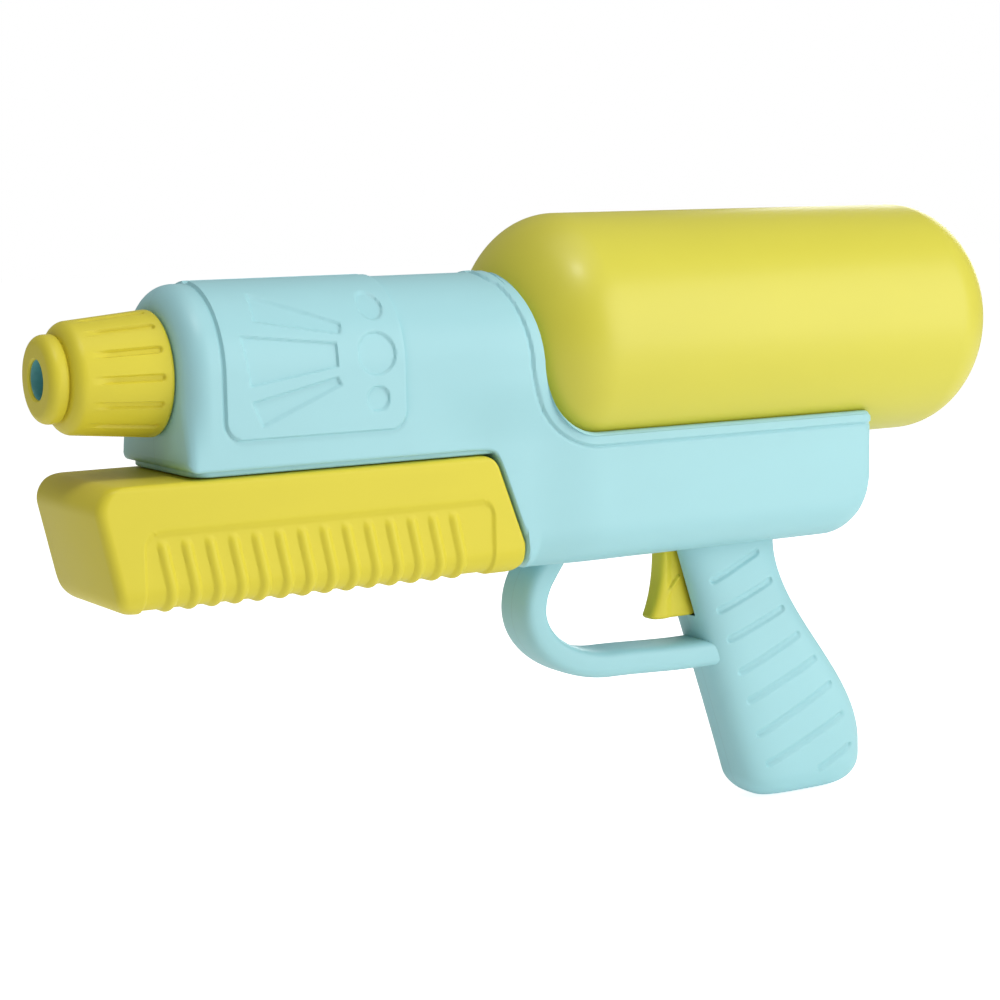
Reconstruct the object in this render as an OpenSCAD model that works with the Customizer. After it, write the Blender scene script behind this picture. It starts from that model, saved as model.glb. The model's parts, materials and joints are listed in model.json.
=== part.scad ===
// Pump-action water squirter: a body of two half shells, a screw-on tank, a sliding pump handle,
// a trigger that opens a sprung valve, and a fluted screw cap round the nozzle.
// Millimetres. +X is the way the water leaves, +Y is the left side and +Z is up.
// The origin is the middle of the nozzle outlet. A setback is a distance behind the outlet,
// a drop is a distance below the nozzle axis, and a half is a distance from the middle plane.

/* [Nozzle] */
// Length of the nozzle cap, from the outlet to its rim
cap_len = 37; // [35:0.5:41]
// Radius of the cap at its rim
cap_rim_r = 20.7; // [19.5:0.1:22.5]
// Radius of the cap just behind its collar
cap_waist_r = 17.6; // [16.5:0.1:18.5]
// Radius of the collar round the outlet
collar_r = 14; // [12.5:0.1:15]
// Length of the collar
collar_len = 5; // [4.5:0.1:6]
// Radius of the outlet
outlet_r = 6.5; // [5:0.1:7.5]
// Depth of the outlet, down to the jet disc
outlet_depth = 6; // [4:0.1:6.5]
// Number of finger flutes round the cap
flute_count = 14; // [12:1:18]
// Radius of each flute
flute_r = 1.5; // [1.2:0.1:2.2]
// Depth of each flute
flute_depth = 1; // [0.6:0.1:1.3]
// Radius of the screw spout inside the cap
spout_r = 12; // [11:0.1:13]
// Radius of the water way through the spout
water_r = 3; // [2:0.1:3.5]

/* [Barrel] */
// Radius of the barrel's round top, and half of its width
barrel_r = 28.5; // [27:0.1:30]
// Drop of the barrel's underside
barrel_drop = 30.6; // [29:0.1:32]
// Rounding of the barrel's front edge
front_round = 8; // [4:0.5:12]
// Height of the slide rail under the barrel
rail_h = 2.8; // [2:0.1:3.4]
// Inset of the slide rail from the barrel's sides
rail_inset = 2.5; // [1:0.1:4]
// Height of the raised side panel
panel_rise = 1.2; // [0.4:0.1:2]
// Setback of the panel's front edge
panel_setback = 51; // [48:0.5:60]
// Length of the panel
panel_len = 66; // [40:0.5:66]
// Drop of the panel's lower edge
panel_drop = 22; // [10:0.5:27]
// Rounding of the panel's lower corners
panel_round = 6; // [2:0.5:9]
// Wall of the body shells
wall = 2.4; // [2:0.1:3]

/* [Tank] */
// Radius of the tank
tank_r = 43.5; // [42:0.1:45]
// Height of the tank's axis above the nozzle axis
tank_rise = 4.8; // [4:0.1:6]
// Setback of the tank's rear end, which is the overall length
tank_end = 380; // [365:1:420]
// Setback where the tank's front dome ends
tank_shoulder = 195.5; // [194:0.5:197]
// Length of the tank's front dome
front_dome = 33; // [31:0.5:34]
// Length of the tank's rear dome
rear_dome = 31; // [25:0.5:43]
// Wall of the tank
tank_wall = 1.8; // [1.2:0.1:2.5]
// Radius of the tank's screw neck
neck_r = 11; // [10:0.1:12]
// Length of the neck in front of the tank's dome
neck_len = 19.5; // [17.5:0.5:20.5]

/* [Rear body] */
// Half of the rear body's width
body_half = 32; // [31:0.1:34]
// Drop of the rear body's underside
body_drop = 74.3; // [74:0.1:76]
// Length of the rear body behind the trigger's pivot
body_tail = 71; // [68:0.5:84]
// Drop of the lip that cradles the tank
lip_drop = 27.5; // [25:0.1:29]
// Setback where the barrel starts to flare
flare_setback = 118; // [117.5:0.5:125]
// Reach of the collar's edge ahead of the tank's shoulder
collar_reach = 25.5; // [24:0.5:27.5]
// Half of the collar's width
collar_half = 32.5; // [32.2:0.1:34]
// Height of the collar's top
collar_top = 28.9; // [28.7:0.1:31]
// Lean of the collar's edge, from its top to the nozzle axis
collar_lean = 6; // [2:0.5:8]
// Radius of the sweep from the collar down to the lip
sweep_r = 21.5; // [15:0.5:24]
// Reach of the step behind the handle, ahead of the tank's shoulder
step_reach = 42.1; // [40.5:0.1:43.5]
// Run of the step, from its top back to its foot
step_run = 11.6; // [9:0.1:13]
// Rounding of the lower rear corner
corner_round = 17; // [12:0.5:28]
// Rounding of the step's foot
foot_round = 4; // [2:0.5:6]

/* [Pump] */
// Room between the tank and the pump cylinder
pump_room = 3.3; // [3:0.1:4]
// Bore radius of the pump cylinder
bore_r = 10; // [9:0.1:10.4]
// Wall of the pump cylinder
cylinder_wall = 2; // [1.5:0.1:2.2]
// Radius of the pump rod
rod_r = 4; // [3:0.1:4.5]
// Length of the piston
piston_len = 8; // [7:0.1:9]
// Stroke of the pump
stroke = 45; // [38:0.5:46]
// Distance of the cylinder's front end behind the step's foot
gland_behind = 4.5; // [4.3:0.1:5.5]

/* [Handle] */
// Half of the handle's width
handle_half = 28; // [26:0.1:30]
// Setback of the handle's front
handle_front = 8; // [2:0.5:14]
// Drop of the handle's underside
handle_drop = 74.5; // [73:0.1:76]
// Rake of the handle's front face in degrees
handle_rake = 11.3; // [0:0.1:16]
// Rounding of the handle's top front edge
brow_round = 8; // [4:0.5:12]
// Rounding of the handle's lower front edge
chin_round = 9; // [8:0.5:14]
// Rounding of the handle's lower side edges
keel_round = 11; // [6:0.5:14]
// Number of grip ribs on the handle
rib_count = 15; // [8:1:15]
// Spacing of the ribs
rib_pitch = 8.1; // [7:0.1:8.2]
// Width of the groove between two ribs
groove_w = 3.6; // [2:0.1:4.5]
// Depth of the grooves
groove_depth = 1.2; // [0.5:0.1:1.4]
// Setback of the first groove
rib_setback = 31; // [29:0.5:34]
// Drop where the ribs start
rib_drop = 50; // [46:0.5:60]

/* [Trigger] */
// Gap between the pump's rear end and the trigger's hub
hub_gap = 2; // [1.8:0.1:3]
// Drop of the trigger's pivot
pivot_drop = 65; // [64.5:0.1:66]
// Radius of the trigger's pin
pin_r = 1.5; // [1.2:0.1:2]
// Width of the trigger
trigger_w = 10; // [8:0.1:11]
// Drop of the trigger's lower end
trigger_drop = 102.5; // [98:0.5:104]
// Drop of the valve's axis
valve_drop = 86; // [85:0.1:88]
// Outer radius of the valve housing
valve_r = 7; // [6.6:0.1:7.4]

/* [Grip] */
// Half of the grip's width
grip_half = 14; // [13:0.1:15.5]
// Distance of the grip's front behind the trigger's pivot, at the body's underside
grip_behind = -1.5; // [-2:0.5:1]
// Rake of the grip's front, in millimetres back for each millimetre down
grip_rake = 0.308; // [0.28:0.002:0.33]
// Depth of the grip from front to back, at the body's underside
grip_depth = 43.5; // [42:0.5:46]
// Swell of the grip's back towards its butt
grip_swell = 41; // [38:0.5:48]
// Drop of the grip's butt
grip_drop = 176.5; // [174:0.5:185]
// Rounding of the grip's butt
butt_round = 9; // [3:0.5:11]

/* [Trigger guard] */
// Width of the guard's bar
guard_w = 20; // [12:0.5:22]
// Thickness of the guard's bar
guard_t = 10; // [7:0.5:12]
// Bend radius of the guard, at the middle of its bar
guard_bend = 22.5; // [19:0.5:24]
// Reach of the bend's centre ahead of the grip
guard_reach = 43; // [40:0.5:48]
// Drop of the bar's middle
guard_drop = 116.5; // [114:0.5:119]
// Lean of the guard's front arm, in degrees
guard_lean = 35; // [15:1:45]

/* [Fits] */
// Radial clearance of a running fit
run_gap = 0.05; // [0.02:0.01:0.1]
// Clearance of a loose slide
slide_gap = 0.4; // [0.3:0.05:0.6]
// Clearance round the tank
tank_gap = 0.5; // [0.3:0.05:0.8]
// Radius of the body screws
screw_r = 1.5; // [1.2:0.1:1.7]
// Radius of the screw heads
head_r = 3; // [2.6:0.1:3.4]
// Outer radius of the water hoses
hose_r = 3.2; // [2.8:0.1:3.3]
// Bore radius of the water hoses
hose_bore = 2.2; // [2:0.05:2.3]

/* [Hidden] */

$fn = 96;
aqua = "#aee0e2";
yellow = "#e2d84e";
teal = "#4fa7a5";
white = "#eef0ee";
grey = "#8d9396";
black = "#33373a";
steel = "#c2c6c9";

// Press clearance between pieces of one body
snug = 0.02;
// Room that a cut takes past a face
over = 1;
// Reach of a cut that runs right through the body
through = 60;

// Barrel, collar and step
face_setback = cap_len + 0.5;
collar_setback = tank_shoulder - collar_reach;
step_top = tank_shoulder - step_reach;
step_foot = step_top + step_run;
flange_t = 3;
rail_drop = barrel_drop + rail_h;
rail_rear = step_top + 3;
barrel_floor = rail_drop - wall - 2;
cavity_r = barrel_r - wall;
cavity_end = collar_setback - 8;
collar_rear = collar_setback + 30;
sweep_front = collar_setback + 2.5;

// Pump
cylinder_r = bore_r + cylinder_wall;
pump_drop = tank_r - tank_rise + pump_room + cylinder_r;
gland_setback = step_foot + gland_behind;
gland_t = 3;
end_t = 6;
piston_play = 1;
gland_rear = gland_setback + gland_t;
chamber_front = gland_rear + gland_t;
chamber_rear = chamber_front + piston_len + stroke + 2 * piston_play;
cylinder_rear = chamber_rear + gland_t;
piston_front = chamber_rear - piston_play - piston_len;
seal_w = 3;
seal_depth = 2.3;
rod_step = 1.5;
end_port_setback = cylinder_rear + end_t / 2;
ball_r = 2.2;
hub_r = 4.5;
pivot_setback = cylinder_rear + end_t + hub_gap + hub_r;

// Rear body
body_end = pivot_setback + body_tail;
foot_drop = body_drop - 10;
floor_round_w = 13;
floor_round_h = 14;
rear_round = 6;
lip_round = 5;
cavity_top = 12;
cavity_play = 0.2;
rib_t = 3;

// Nozzle pieces
collar_round = 3;
cap_edge = 1.5;
cap_shoulder = 4.5;
flute_stop = 6;
pocket_r = outlet_r + 3;
seal_t = 2;
disc_t = 6;
disc_gap = 0.3;
disc_r = pocket_r - 0.4;
disc_bore = 1.6;
jet_r = 0.8;
mouth_r = 4;
stem_len = 7;
seal_front = outlet_depth + disc_t + 1;
spout_front = seal_front + seal_t;
spout_flange_r = spout_r + 3;
tail_r = 5;
barb_r = hose_bore - 0.25;
barb_bore = 1;
barb_len = 7;
spout_rear = face_setback + wall + flange_t;
spout_tail = spout_rear + barb_len + 9;

// Tank and its socket
neck_setback = tank_shoulder - front_dome - neck_len;
neck_bore = neck_r - 2;
socket_wall = 3;
socket_r = neck_r + socket_wall;
washer_t = 2;
socket_front = neck_setback - washer_t - 3;
socket_rear = neck_setback + 11;
port_setback = socket_front + 8;
port_y = 5;
port_top = socket_r - tank_rise - 1;
port_drop = port_top + barb_len;

// Handle
handle_top = rail_drop + slide_gap;
handle_gap = 1.2;
handle_wall = 2.6;
handle_crown = 2.5;
handle_heel = 5;
slot_half = 4.4;
neck_half = slot_half - slide_gap;
tee_half = 9;
tee_t = 2.4;
tee_rear = step_top - 7;
tee_front = tee_rear - 36;
slot_front = tee_front - stroke - over;
slot_rear = tee_rear + over;
plate_t = 2.4;
plate_front = 48;
plate_rear = step_top - 6;
plate_half = 19.5;
boss_half = 8;
boss_rear = tee_rear - 6.4;
boss_front = boss_rear - 2 * boss_half;
rod_front = boss_front + 2;
rod_pin_setback = (boss_front + boss_rear) / 2;
post_r = 4;
post_screw = 8;
post_setbacks = [58, 98];

// Trigger and valve
slot_w = trigger_w + 2 * 0.6;
pin_half = 12;
pin_rib = 7;
lug = 4;
slot_front_room = 10;
slot_rear_room = 18;
slot_low_room = 4;
slot_top_room = 6;
blade_back = pivot_setback + 5;
blade_top = pivot_drop + 7;
blade_toe = 1.5;
blade_lead = 6.2;
blade_lean = 0.6;
blade_hook = 4.7;
valve_front = pivot_setback + 14;
valve_rear = valve_front + 22;
valve_bore = valve_r - 2.5;
valve_wall = 2;
stem_r = 2;
stem_front = blade_back + 0.3;
stem_collar = valve_front + 5.5;
stem_collar_t = 2;
stem_rear = stem_collar + stem_collar_t + 2.5;
plug_t = 3;
saddle_t = 1.5;
saddle_low = 6;
jet_port = valve_front + 8;
feed_port = valve_front + 17;
valve_port_top = valve_drop - valve_r - barb_len;
spring_wire = 0.45;
spring_turns = 5;

// Grip
grip_setback = pivot_setback + grip_behind;
grip_top = body_drop - 6;
grip_bend = 78;
grip_bend_len = 82;
grip_power = 0.52;
guard_root = grip_setback + 20;
guard_setback = grip_setback - guard_reach;
guard_bury = 6;

// Screws that hold the two half shells together, each as a setback and a height
screw_seat = 8;
screw_hold = 9;
head_t = 2;
boss_r = head_r + 2;
screw_rise = 17;
screw_places = [
  [face_setback + 18.5, screw_rise], [socket_front - 10, screw_rise], [-midway(0.52), -barrel_drop + 11.6],
  [body_end - 15, -body_drop + 19.3],
  [grip_setback + 37, -grip_drop + 54.5], [grip_setback + 54, -grip_drop + 18.5]
];

// X at a share of the way from the spout's tail to the tank socket, and along the tank's straight wall
function midway(share) = -(spout_tail + (socket_front - spout_tail) * share);
function along_tank(share) = -(tank_shoulder + (tank_end - rear_dome - tank_shoulder) * share);

// Routes of the hoses, from barb to barb
hose_seat = 0.5;
hose_lead = 3;
port_seat = 1.2;
water_route = [
  [-port_setback, port_y, -port_top - port_seat], [-port_setback, port_y, -port_drop - hose_seat],
  [-port_setback, port_y, -port_drop - hose_lead], [-port_setback - 3.5, port_y + 2, -port_drop - 7.8],
  [-step_foot + 5, 12.5, -lip_drop + 1], [-step_foot - 5, 18.5, -pump_drop + 16],
  [-step_foot - 19, 21.5, -pump_drop + 7], [-step_foot - 45, 22, -pump_drop - 1],
  [-pivot_setback + 6, 21, -pump_drop - 4], [-pivot_setback - 12, 16, -pump_drop - 5],
  [-pivot_setback - 24, 8, -pump_drop - 7],
  [-feed_port, 0, -valve_port_top + 4], [-feed_port, 0, -valve_port_top + 1],
  [-feed_port, 0, -valve_drop + valve_r + hose_seat]
];
jet_route = [
  [-(spout_tail - barb_len) - hose_seat, 0, 0], [-spout_tail, 0, 0], [-spout_tail - 8, 0, 0],
  [midway(0.47), -7, -5], [midway(0.77), -15, -15], [-socket_front - 2, -19, -21],
  [-step_foot + 12, -20, -23], [-step_foot + 1, -21, -lip_drop - 1.5], [-step_foot - 9, -23, -lip_drop - 13.5],
  [-step_foot - 23, -24, -body_drop + 22.3], [-step_foot - 50, -24, -body_drop + 12.3],
  [-pivot_setback + 6, -20.5, -body_drop + 10.3], [-pivot_setback - 10, -14, -body_drop + 11.3],
  [-pivot_setback - 19, -6, -body_drop + 11.3],
  [-jet_port, 0, -valve_port_top + 4], [-jet_port, 0, -valve_port_top + 1],
  [-jet_port, 0, -valve_drop + valve_r + hose_seat]
];
air_route = [
  [-end_port_setback, -cylinder_r - hose_seat, -pump_drop],
  [-end_port_setback, -cylinder_r - barb_len + hose_seat, -pump_drop],
  [-end_port_setback, -cylinder_r - barb_len - 1.5, -pump_drop],
  [-end_port_setback + 4, -24.2, -pump_drop + 1], [-end_port_setback + 14.5, -24, -pump_drop + 3.5],
  [-end_port_setback + 31.5, -19, -pump_drop + 6.5], [-step_foot - 23, -15.5, -pump_drop + 7],
  [-step_foot - 7, -15, -pump_drop + 13.5], [-step_foot + 1, -13, -pump_drop + 22],
  [-step_foot + 8, -9, -lip_drop + 2.5], [-port_setback - 4.5, -port_y - 1, -port_drop - 5.8],
  [-port_setback, -port_y, -port_drop - hose_lead], [-port_setback, -port_y, -port_drop - hose_seat],
  [-port_setback, -port_y, -port_top - port_seat]
];
feed_route = [
  [-(socket_front + 1), 0, tank_rise], [along_tank(0.06), 0, tank_rise],
  [along_tank(0.38), 0, tank_rise - tank_r / 15], [along_tank(0.67), 0, tank_rise - 0.39 * tank_r],
  [along_tank(0.86), 0, tank_rise - 0.8 * tank_r]
];

// Points on an arc of a circle
function arc(cx, cy, r, from, to, n = 10) =
  [for (i = [0:n]) let (a = from + (to - from) * i / n) [cx + r * cos(a), cy + r * sin(a)]];

// Points on an arc of an ellipse
function oval(cx, cy, rx, ry, from, to, n = 10) =
  [for (i = [0:n]) let (a = from + (to - from) * i / n) [cx + rx * cos(a), cy + ry * sin(a)]];

// An outline given for +Y, closed by its mirror image
function both_sides(p) = concat(p, [for (i = [len(p) - 1:-1:0]) [p[i][0], -p[i][1]]]);

// Smooth rise from 0 to 1
function ease(t) = let (u = max(0, min(1, t))) u * u * (3 - 2 * u);

// X of the step's face at a drop
function step_x(drop) =
  -(step_top + (step_foot - step_top) * min(1, (drop - barrel_drop) / (foot_drop - barrel_drop)));

// A solid turned round the nozzle axis, from points of radius and setback
module turn(profile, sweep = 360) {
  start = sweep == 360 ? 0 : -sweep / 2;
  rotate([0, -90, 0]) rotate([0, 0, start]) rotate_extrude(angle = sweep) polygon(profile);
}

// A round bar along X between two setbacks
module bar(from, to, r, drop = 0, y = 0) {
  translate([-from, y, -drop]) rotate([0, -90, 0]) cylinder(h = to - from, r = r);
}

// A round bar along Y
module cross_bar(setback, drop, from, to, r) {
  translate([-setback, to, -drop]) rotate([90, 0, 0]) cylinder(h = to - from, r = r);
}

// A section of height and left side, drawn out along X between two setbacks
module along_x(from, to) {
  translate([-from, 0, 0]) rotate([0, -90, 0]) linear_extrude(to - from) children();
}

// A side view of X and Z, drawn out along Y
module along_y(from, to) {
  translate([0, to, 0]) rotate([90, 0, 0]) linear_extrude(to - from) children();
}

// A plan of X and Y, drawn out along Z
module along_z(from, to) {
  translate([0, 0, from]) linear_extrude(to - from) children();
}

// A block between two setbacks, two sides and two heights
module block(from, to, half, low, high) {
  translate([-to, -half, low]) cube([to - from, 2 * half, high - low]);
}

// A round-ended rod along Z
module capsule(r, h) {
  rotate_extrude() polygon(concat([[0, -r]], arc(0, 0, r, -90, 0, 6), arc(0, h, r, 0, 90, 6)));
}

function unit(v) = v / norm(v);

// A smooth curve through the points of a route, with a number of steps between two points
function curve(p, steps) = [
  for (i = [0:len(p) - 2], k = [0:steps - 1])
    let (a = p[max(0, i - 1)], b = p[i], c = p[i + 1], d = p[min(len(p) - 1, i + 2)], t = k / steps)
      0.5 * (2 * b + (c - a) * t + (2 * a - 5 * b + 4 * c - d) * t * t + (3 * b - a - 3 * c + d) * t * t * t),
  p[len(p) - 1]
];

// Directions along a path, and a side vector carried along it without twist
function directions(p) =
  [for (i = [0:len(p) - 1]) unit(p[min(i + 1, len(p) - 1)] - p[max(i - 1, 0)])];
function carried(t, n, i = 0) =
  i == len(t) ? [] : let (m = unit(n - (n * t[i]) * t[i])) concat([m], carried(t, m, i + 1));

// Rings of points round a path
function rings(p, r, sides) =
  let (t = directions(p), n = carried(t, abs(t[0].z) < 0.9 ? [0, 0, 1] : [1, 0, 0]))
    [for (i = [0:len(p) - 1], j = [0:sides - 1]) let (a = 360 * j / sides)
      p[i] + r * (cos(a) * n[i] + sin(a) * cross(t[i], n[i]))];

// Triangles of the wall between rings, facing out or in
function wall_faces(count, sides, base, out) = [
  for (i = [0:count - 2], j = [0:sides - 1], half = [0, 1])
    let (a = base + i * sides + j, b = base + i * sides + (j + 1) % sides, c = b + sides, d = a + sides,
      f = half == 0 ? [a, d, c] : [a, c, b])
      out ? f : [f[2], f[1], f[0]]
];

// A round wire along a path
module wire(path, r, sides) {
  count = len(path);
  last = (count - 1) * sides;
  polyhedron(rings(path, r, sides), concat(
    wall_faces(count, sides, 0, true),
    [[for (j = [0:sides - 1]) j], [for (j = [sides - 1:-1:0]) last + j]]
  ));
}

// A hose along a path, with its bore
module hose(path, r, bore, sides = 10) {
  count = len(path);
  inner = count * sides;
  last = (count - 1) * sides;
  polyhedron(concat(rings(path, r, sides), rings(path, bore, sides)), concat(
    wall_faces(count, sides, 0, true),
    wall_faces(count, sides, inner, false),
    [for (j = [0:sides - 1], half = [0, 1]) let (k = (j + 1) % sides)
      half == 0 ? [j, k, inner + k] : [j, inner + k, inner + j]],
    [for (j = [0:sides - 1], half = [0, 1]) let (k = (j + 1) % sides)
      half == 0 ? [last + j, inner + last + j, inner + last + k] : [last + j, inner + last + k, last + k]]
  ));
}

// Outline of the tank as radius and setback, grown by a clearance
function tank_front(grow) = concat(
  [[neck_r + grow, neck_setback - grow]],
  [for (i = [0:12]) let (start = asin(neck_r / tank_r), t = start + (90 - start) * i / 12)
    [(tank_r + grow) * sin(t), tank_shoulder - (front_dome + grow) * cos(t)]]
);
function tank_back(grow) =
  oval(0, tank_end - rear_dome, tank_r + grow, rear_dome + grow, 0, 90, 14);

// Outline of the tank's hollow, from its rear end forward to its neck
function tank_hollow() =
  let (r = tank_r - tank_wall, start = asin(neck_bore / r))
    concat(
      oval(0, tank_end - rear_dome, r, rear_dome - tank_wall, 90, 0, 14),
      [for (i = [12:-1:0]) let (t = start + (90 - start) * i / 12)
        [r * sin(t), tank_shoulder - (front_dome - tank_wall) * cos(t)]],
      [[neck_bore, neck_setback]]
    );

// Space that the tank takes, grown by a clearance, with its rear left long
module tank_space(grow) {
  translate([0, 0, tank_rise]) turn(concat(
    [[0, neck_setback - grow]], tank_front(grow), [[tank_r + grow, tank_end], [0, tank_end]]
  ));
}

// Side view of the body below the nozzle axis
function lower_outline() = concat(
  [[-face_setback, 0], [-face_setback, -barrel_drop], [-step_top, -barrel_drop], [-step_foot, -foot_drop]],
  arc(-step_foot - foot_round, -body_drop + foot_round, foot_round, 0, -90, 6),
  arc(-body_end + corner_round, -body_drop + corner_round, corner_round, -90, -180, 14),
  arc(-body_end + lip_round, -lip_drop - lip_round, lip_round, 180, 90, 6),
  arc(-sweep_front - sweep_r, -lip_drop + sweep_r, sweep_r, -90, 0, 14),
  [[-collar_setback, 0]]
);

// Plan of the body, from its round front to its rear
function body_plan() = both_sides(concat(
  arc(-face_setback - front_round, barrel_r - front_round, front_round, 0, 90),
  [[-flare_setback, barrel_r], [-collar_setback, collar_half], [-collar_rear, body_half]],
  arc(-body_end + rear_round, body_half - rear_round, rear_round, 90, 180, 6)
));

// Section of the rear body with its lower edges rounded, inside a wall
function body_section(inset) = both_sides(concat(
  [[over, through]],
  [[-(body_drop - floor_round_h), through]],
  [[-(body_drop - floor_round_h), collar_half + over - inset]],
  oval(-(body_drop - floor_round_h), collar_half + over - floor_round_w, floor_round_h - inset,
    floor_round_w - inset, 90, 180, 8)
));

// Section of the rear body's inside
function cavity_section() = both_sides(concat(
  [[0, body_half - wall]],
  oval(-(body_drop - floor_round_h), body_half - floor_round_w, floor_round_h - wall,
    floor_round_w - wall, 90, 180, 8)
));

// Side view of the rear body's inside
function cavity_outline() = concat(
  [[step_x(cavity_top) - wall - cavity_play, -cavity_top],
    [step_x(foot_drop) - wall - cavity_play, -foot_drop],
    [step_x(foot_drop) - wall - cavity_play, -body_drop + wall]],
  arc(-body_end + corner_round, -body_drop + corner_round, corner_round - wall, -90, -180, 14),
  [[-body_end + wall, -cavity_top]]
);

module barrel_rail() {
  half = barrel_r - rail_inset;
  round = front_round - rail_inset;
  along_z(-rail_drop, -barrel_drop) polygon(both_sides(concat(
    arc(-face_setback - rail_inset - round, half - round, round, 0, 90),
    [[-rail_rear, half]]
  )));
}

module side_panel() {
  rear = panel_setback + panel_len;
  r = barrel_r + panel_rise;
  turn([[barrel_r - over, panel_setback], [r, panel_setback], [r, rear], [barrel_r - over, rear]], 180);
  along_y(-r, r) polygon(concat(
    [[-panel_setback, 0]],
    arc(-panel_setback - panel_round, -panel_drop + panel_round, panel_round, 0, -90, 6),
    arc(-rear + panel_round, -panel_drop + panel_round, panel_round, -90, -180, 6),
    [[-rear, 0]]
  ));
}

module barrel_top() {
  intersection() {
    turn(concat(
      [[0, face_setback]],
      arc(barrel_r - front_round, face_setback + front_round, front_round, -90, 0),
      [[barrel_r, flare_setback], [collar_half, collar_setback], [0, collar_setback]]
    ), 180);
    along_y(-through, through) polygon([
      [over, 0], [over, collar_top], [-(collar_setback - collar_lean), collar_top], [-collar_setback, 0]
    ]);
  }
}

module lower_body() {
  intersection() {
    along_y(-through, through) polygon(lower_outline());
    along_z(-body_drop - over, 0) polygon(body_plan());
    along_x(face_setback - over, body_end + over) polygon(body_section(0));
  }
}

// Side view of the trigger guard, from the grip round to the body's underside
function guard_outline() =
  let (
    cx = -guard_setback,
    cz = -guard_drop + guard_bend,
    inner = guard_bend - guard_t / 2,
    outer = guard_bend + guard_t / 2,
    up = guard_drop - guard_bend - body_drop + guard_bury,
    arm = (up - guard_bend * sin(guard_lean)) / cos(guard_lean),
    back = [-arm * sin(guard_lean), arm * cos(guard_lean)]
  )
    concat(
      [[-guard_root, cz - outer]],
      arc(cx, cz, outer, -90, guard_lean, 16),
      [[cx + outer * cos(guard_lean), cz + outer * sin(guard_lean)] + back],
      [[cx + inner * cos(guard_lean), cz + inner * sin(guard_lean)] + back],
      arc(cx, cz, inner, guard_lean, -90, 16),
      [[-guard_root, cz - inner]]
    );

module guard() along_y(-guard_w / 2, guard_w / 2) polygon(guard_outline());

// Outline of the grip at a drop, inset by a wall
function grip_ring(drop, inset, sides = 28) =
  let (
    low = grip_drop - inset,
    near = max(0, butt_round - (low - drop)),
    taper = near <= 0 ? 0 : butt_round - sqrt(butt_round * butt_round - near * near),
    front = grip_setback + grip_rake * (drop - body_drop) + inset + taper,
    back = grip_setback + grip_depth + grip_swell * ease((drop - grip_bend) / grip_bend_len) - inset - taper,
    half = grip_half - inset - taper
  )
    [for (j = [0:sides - 1]) let (a = 360 * (j + 0.5) / sides, c = cos(a), s = sin(a))
      [-(front + back) / 2 + (back - front) / 2 * sign(c) * pow(abs(c), grip_power),
        -half * sign(s) * pow(abs(s), grip_power), -drop]];

module grip_solid(inset, sides = 28) {
  low = grip_drop - inset;
  drops = concat(
    [for (i = [0:8]) grip_top + (low - butt_round - grip_top) * i / 8],
    [for (i = [1:5]) low - butt_round + butt_round * sin(15 * i)]
  );
  count = len(drops);
  last = (count - 1) * sides;
  polyhedron([for (d = drops) each grip_ring(d, inset, sides)], concat(
    wall_faces(count, sides, 0, true),
    [[for (j = [0:sides - 1]) j], [for (j = [sides - 1:-1:0]) last + j]]
  ));
}

module body_outside() {
  lower_body();
  barrel_top();
  barrel_rail();
  side_panel();
  guard();
  grip_solid(0);
}

// Hollow of the barrel, the rear body and the grip
module body_inside() {
  front = face_setback + wall;
  round = front_round - wall;
  turn(concat(
    [[0, front]],
    arc(cavity_r - round, front + round, round, -90, 0),
    [[cavity_r, cavity_end], [0, cavity_end]]
  ), 180);
  along_z(-barrel_floor, 0) polygon(both_sides(concat(
    arc(-front - round, cavity_r - round, round, 0, 90), [[-cavity_end, cavity_r]]
  )));
  difference() {
    intersection() {
      along_y(-through, through) polygon(cavity_outline());
      along_x(step_top, body_end) polygon(cavity_section());
    }
    tank_space(tank_gap + wall);
  }
  grip_solid(wall);
}

// What the shells keep inside to hold the other pieces
module body_holders() {
  for (p = screw_places) cross_bar(p[0], -p[1], -through, through, boss_r);
  for (s = [chamber_front + rib_t, piston_front - 2 * rib_t])
    block(s, s + rib_t, cylinder_r + rib_t, -body_drop, -pump_drop);
  difference() {
    block(pivot_setback - lug, pivot_setback + lug, pin_half + 0.5, -body_drop, -pivot_drop + lug);
    block(pivot_setback - lug - over, pivot_setback + lug + over, pin_rib, -body_drop - over,
      -pivot_drop + lug + over);
  }
  for (s = [valve_front + valve_wall, valve_rear - 1.5])
    block(s, s + saddle_t, grip_half, -valve_drop - valve_r - saddle_low, -valve_drop);
  block(socket_rear - 2 - rib_t, socket_rear - 2, barrel_r, tank_rise - 10, barrel_r);
}

// Holes and slots in the shells
module body_openings() {
  tank_space(tank_gap);
  bar(face_setback - over, spout_rear, spout_r + run_gap);
  bar(socket_front, socket_rear + over, socket_r + snug, -tank_rise);
  bar(gland_setback, cylinder_rear + end_t, cylinder_r + snug, pump_drop);
  bar(step_top - over, gland_setback + over, rod_r + over, pump_drop);
  block(slot_front, slot_rear, slot_half, -rail_drop - over, -barrel_floor + over);
  block(pivot_setback - slot_front_room, pivot_setback + slot_rear_room, slot_w / 2,
    -trigger_drop - slot_low_room, -pivot_drop + slot_top_room);
  cross_bar(pivot_setback, pivot_drop, -pin_half, pin_half, pin_r + snug);
  bar(valve_front - over, valve_rear + plug_t, valve_r + snug, valve_drop);
  for (p = screw_places) {
    cross_bar(p[0], -p[1], -screw_seat - over, screw_hold, screw_r + snug);
    cross_bar(p[0], -p[1], -through, -screw_seat, head_r + slide_gap);
  }
}

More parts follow.
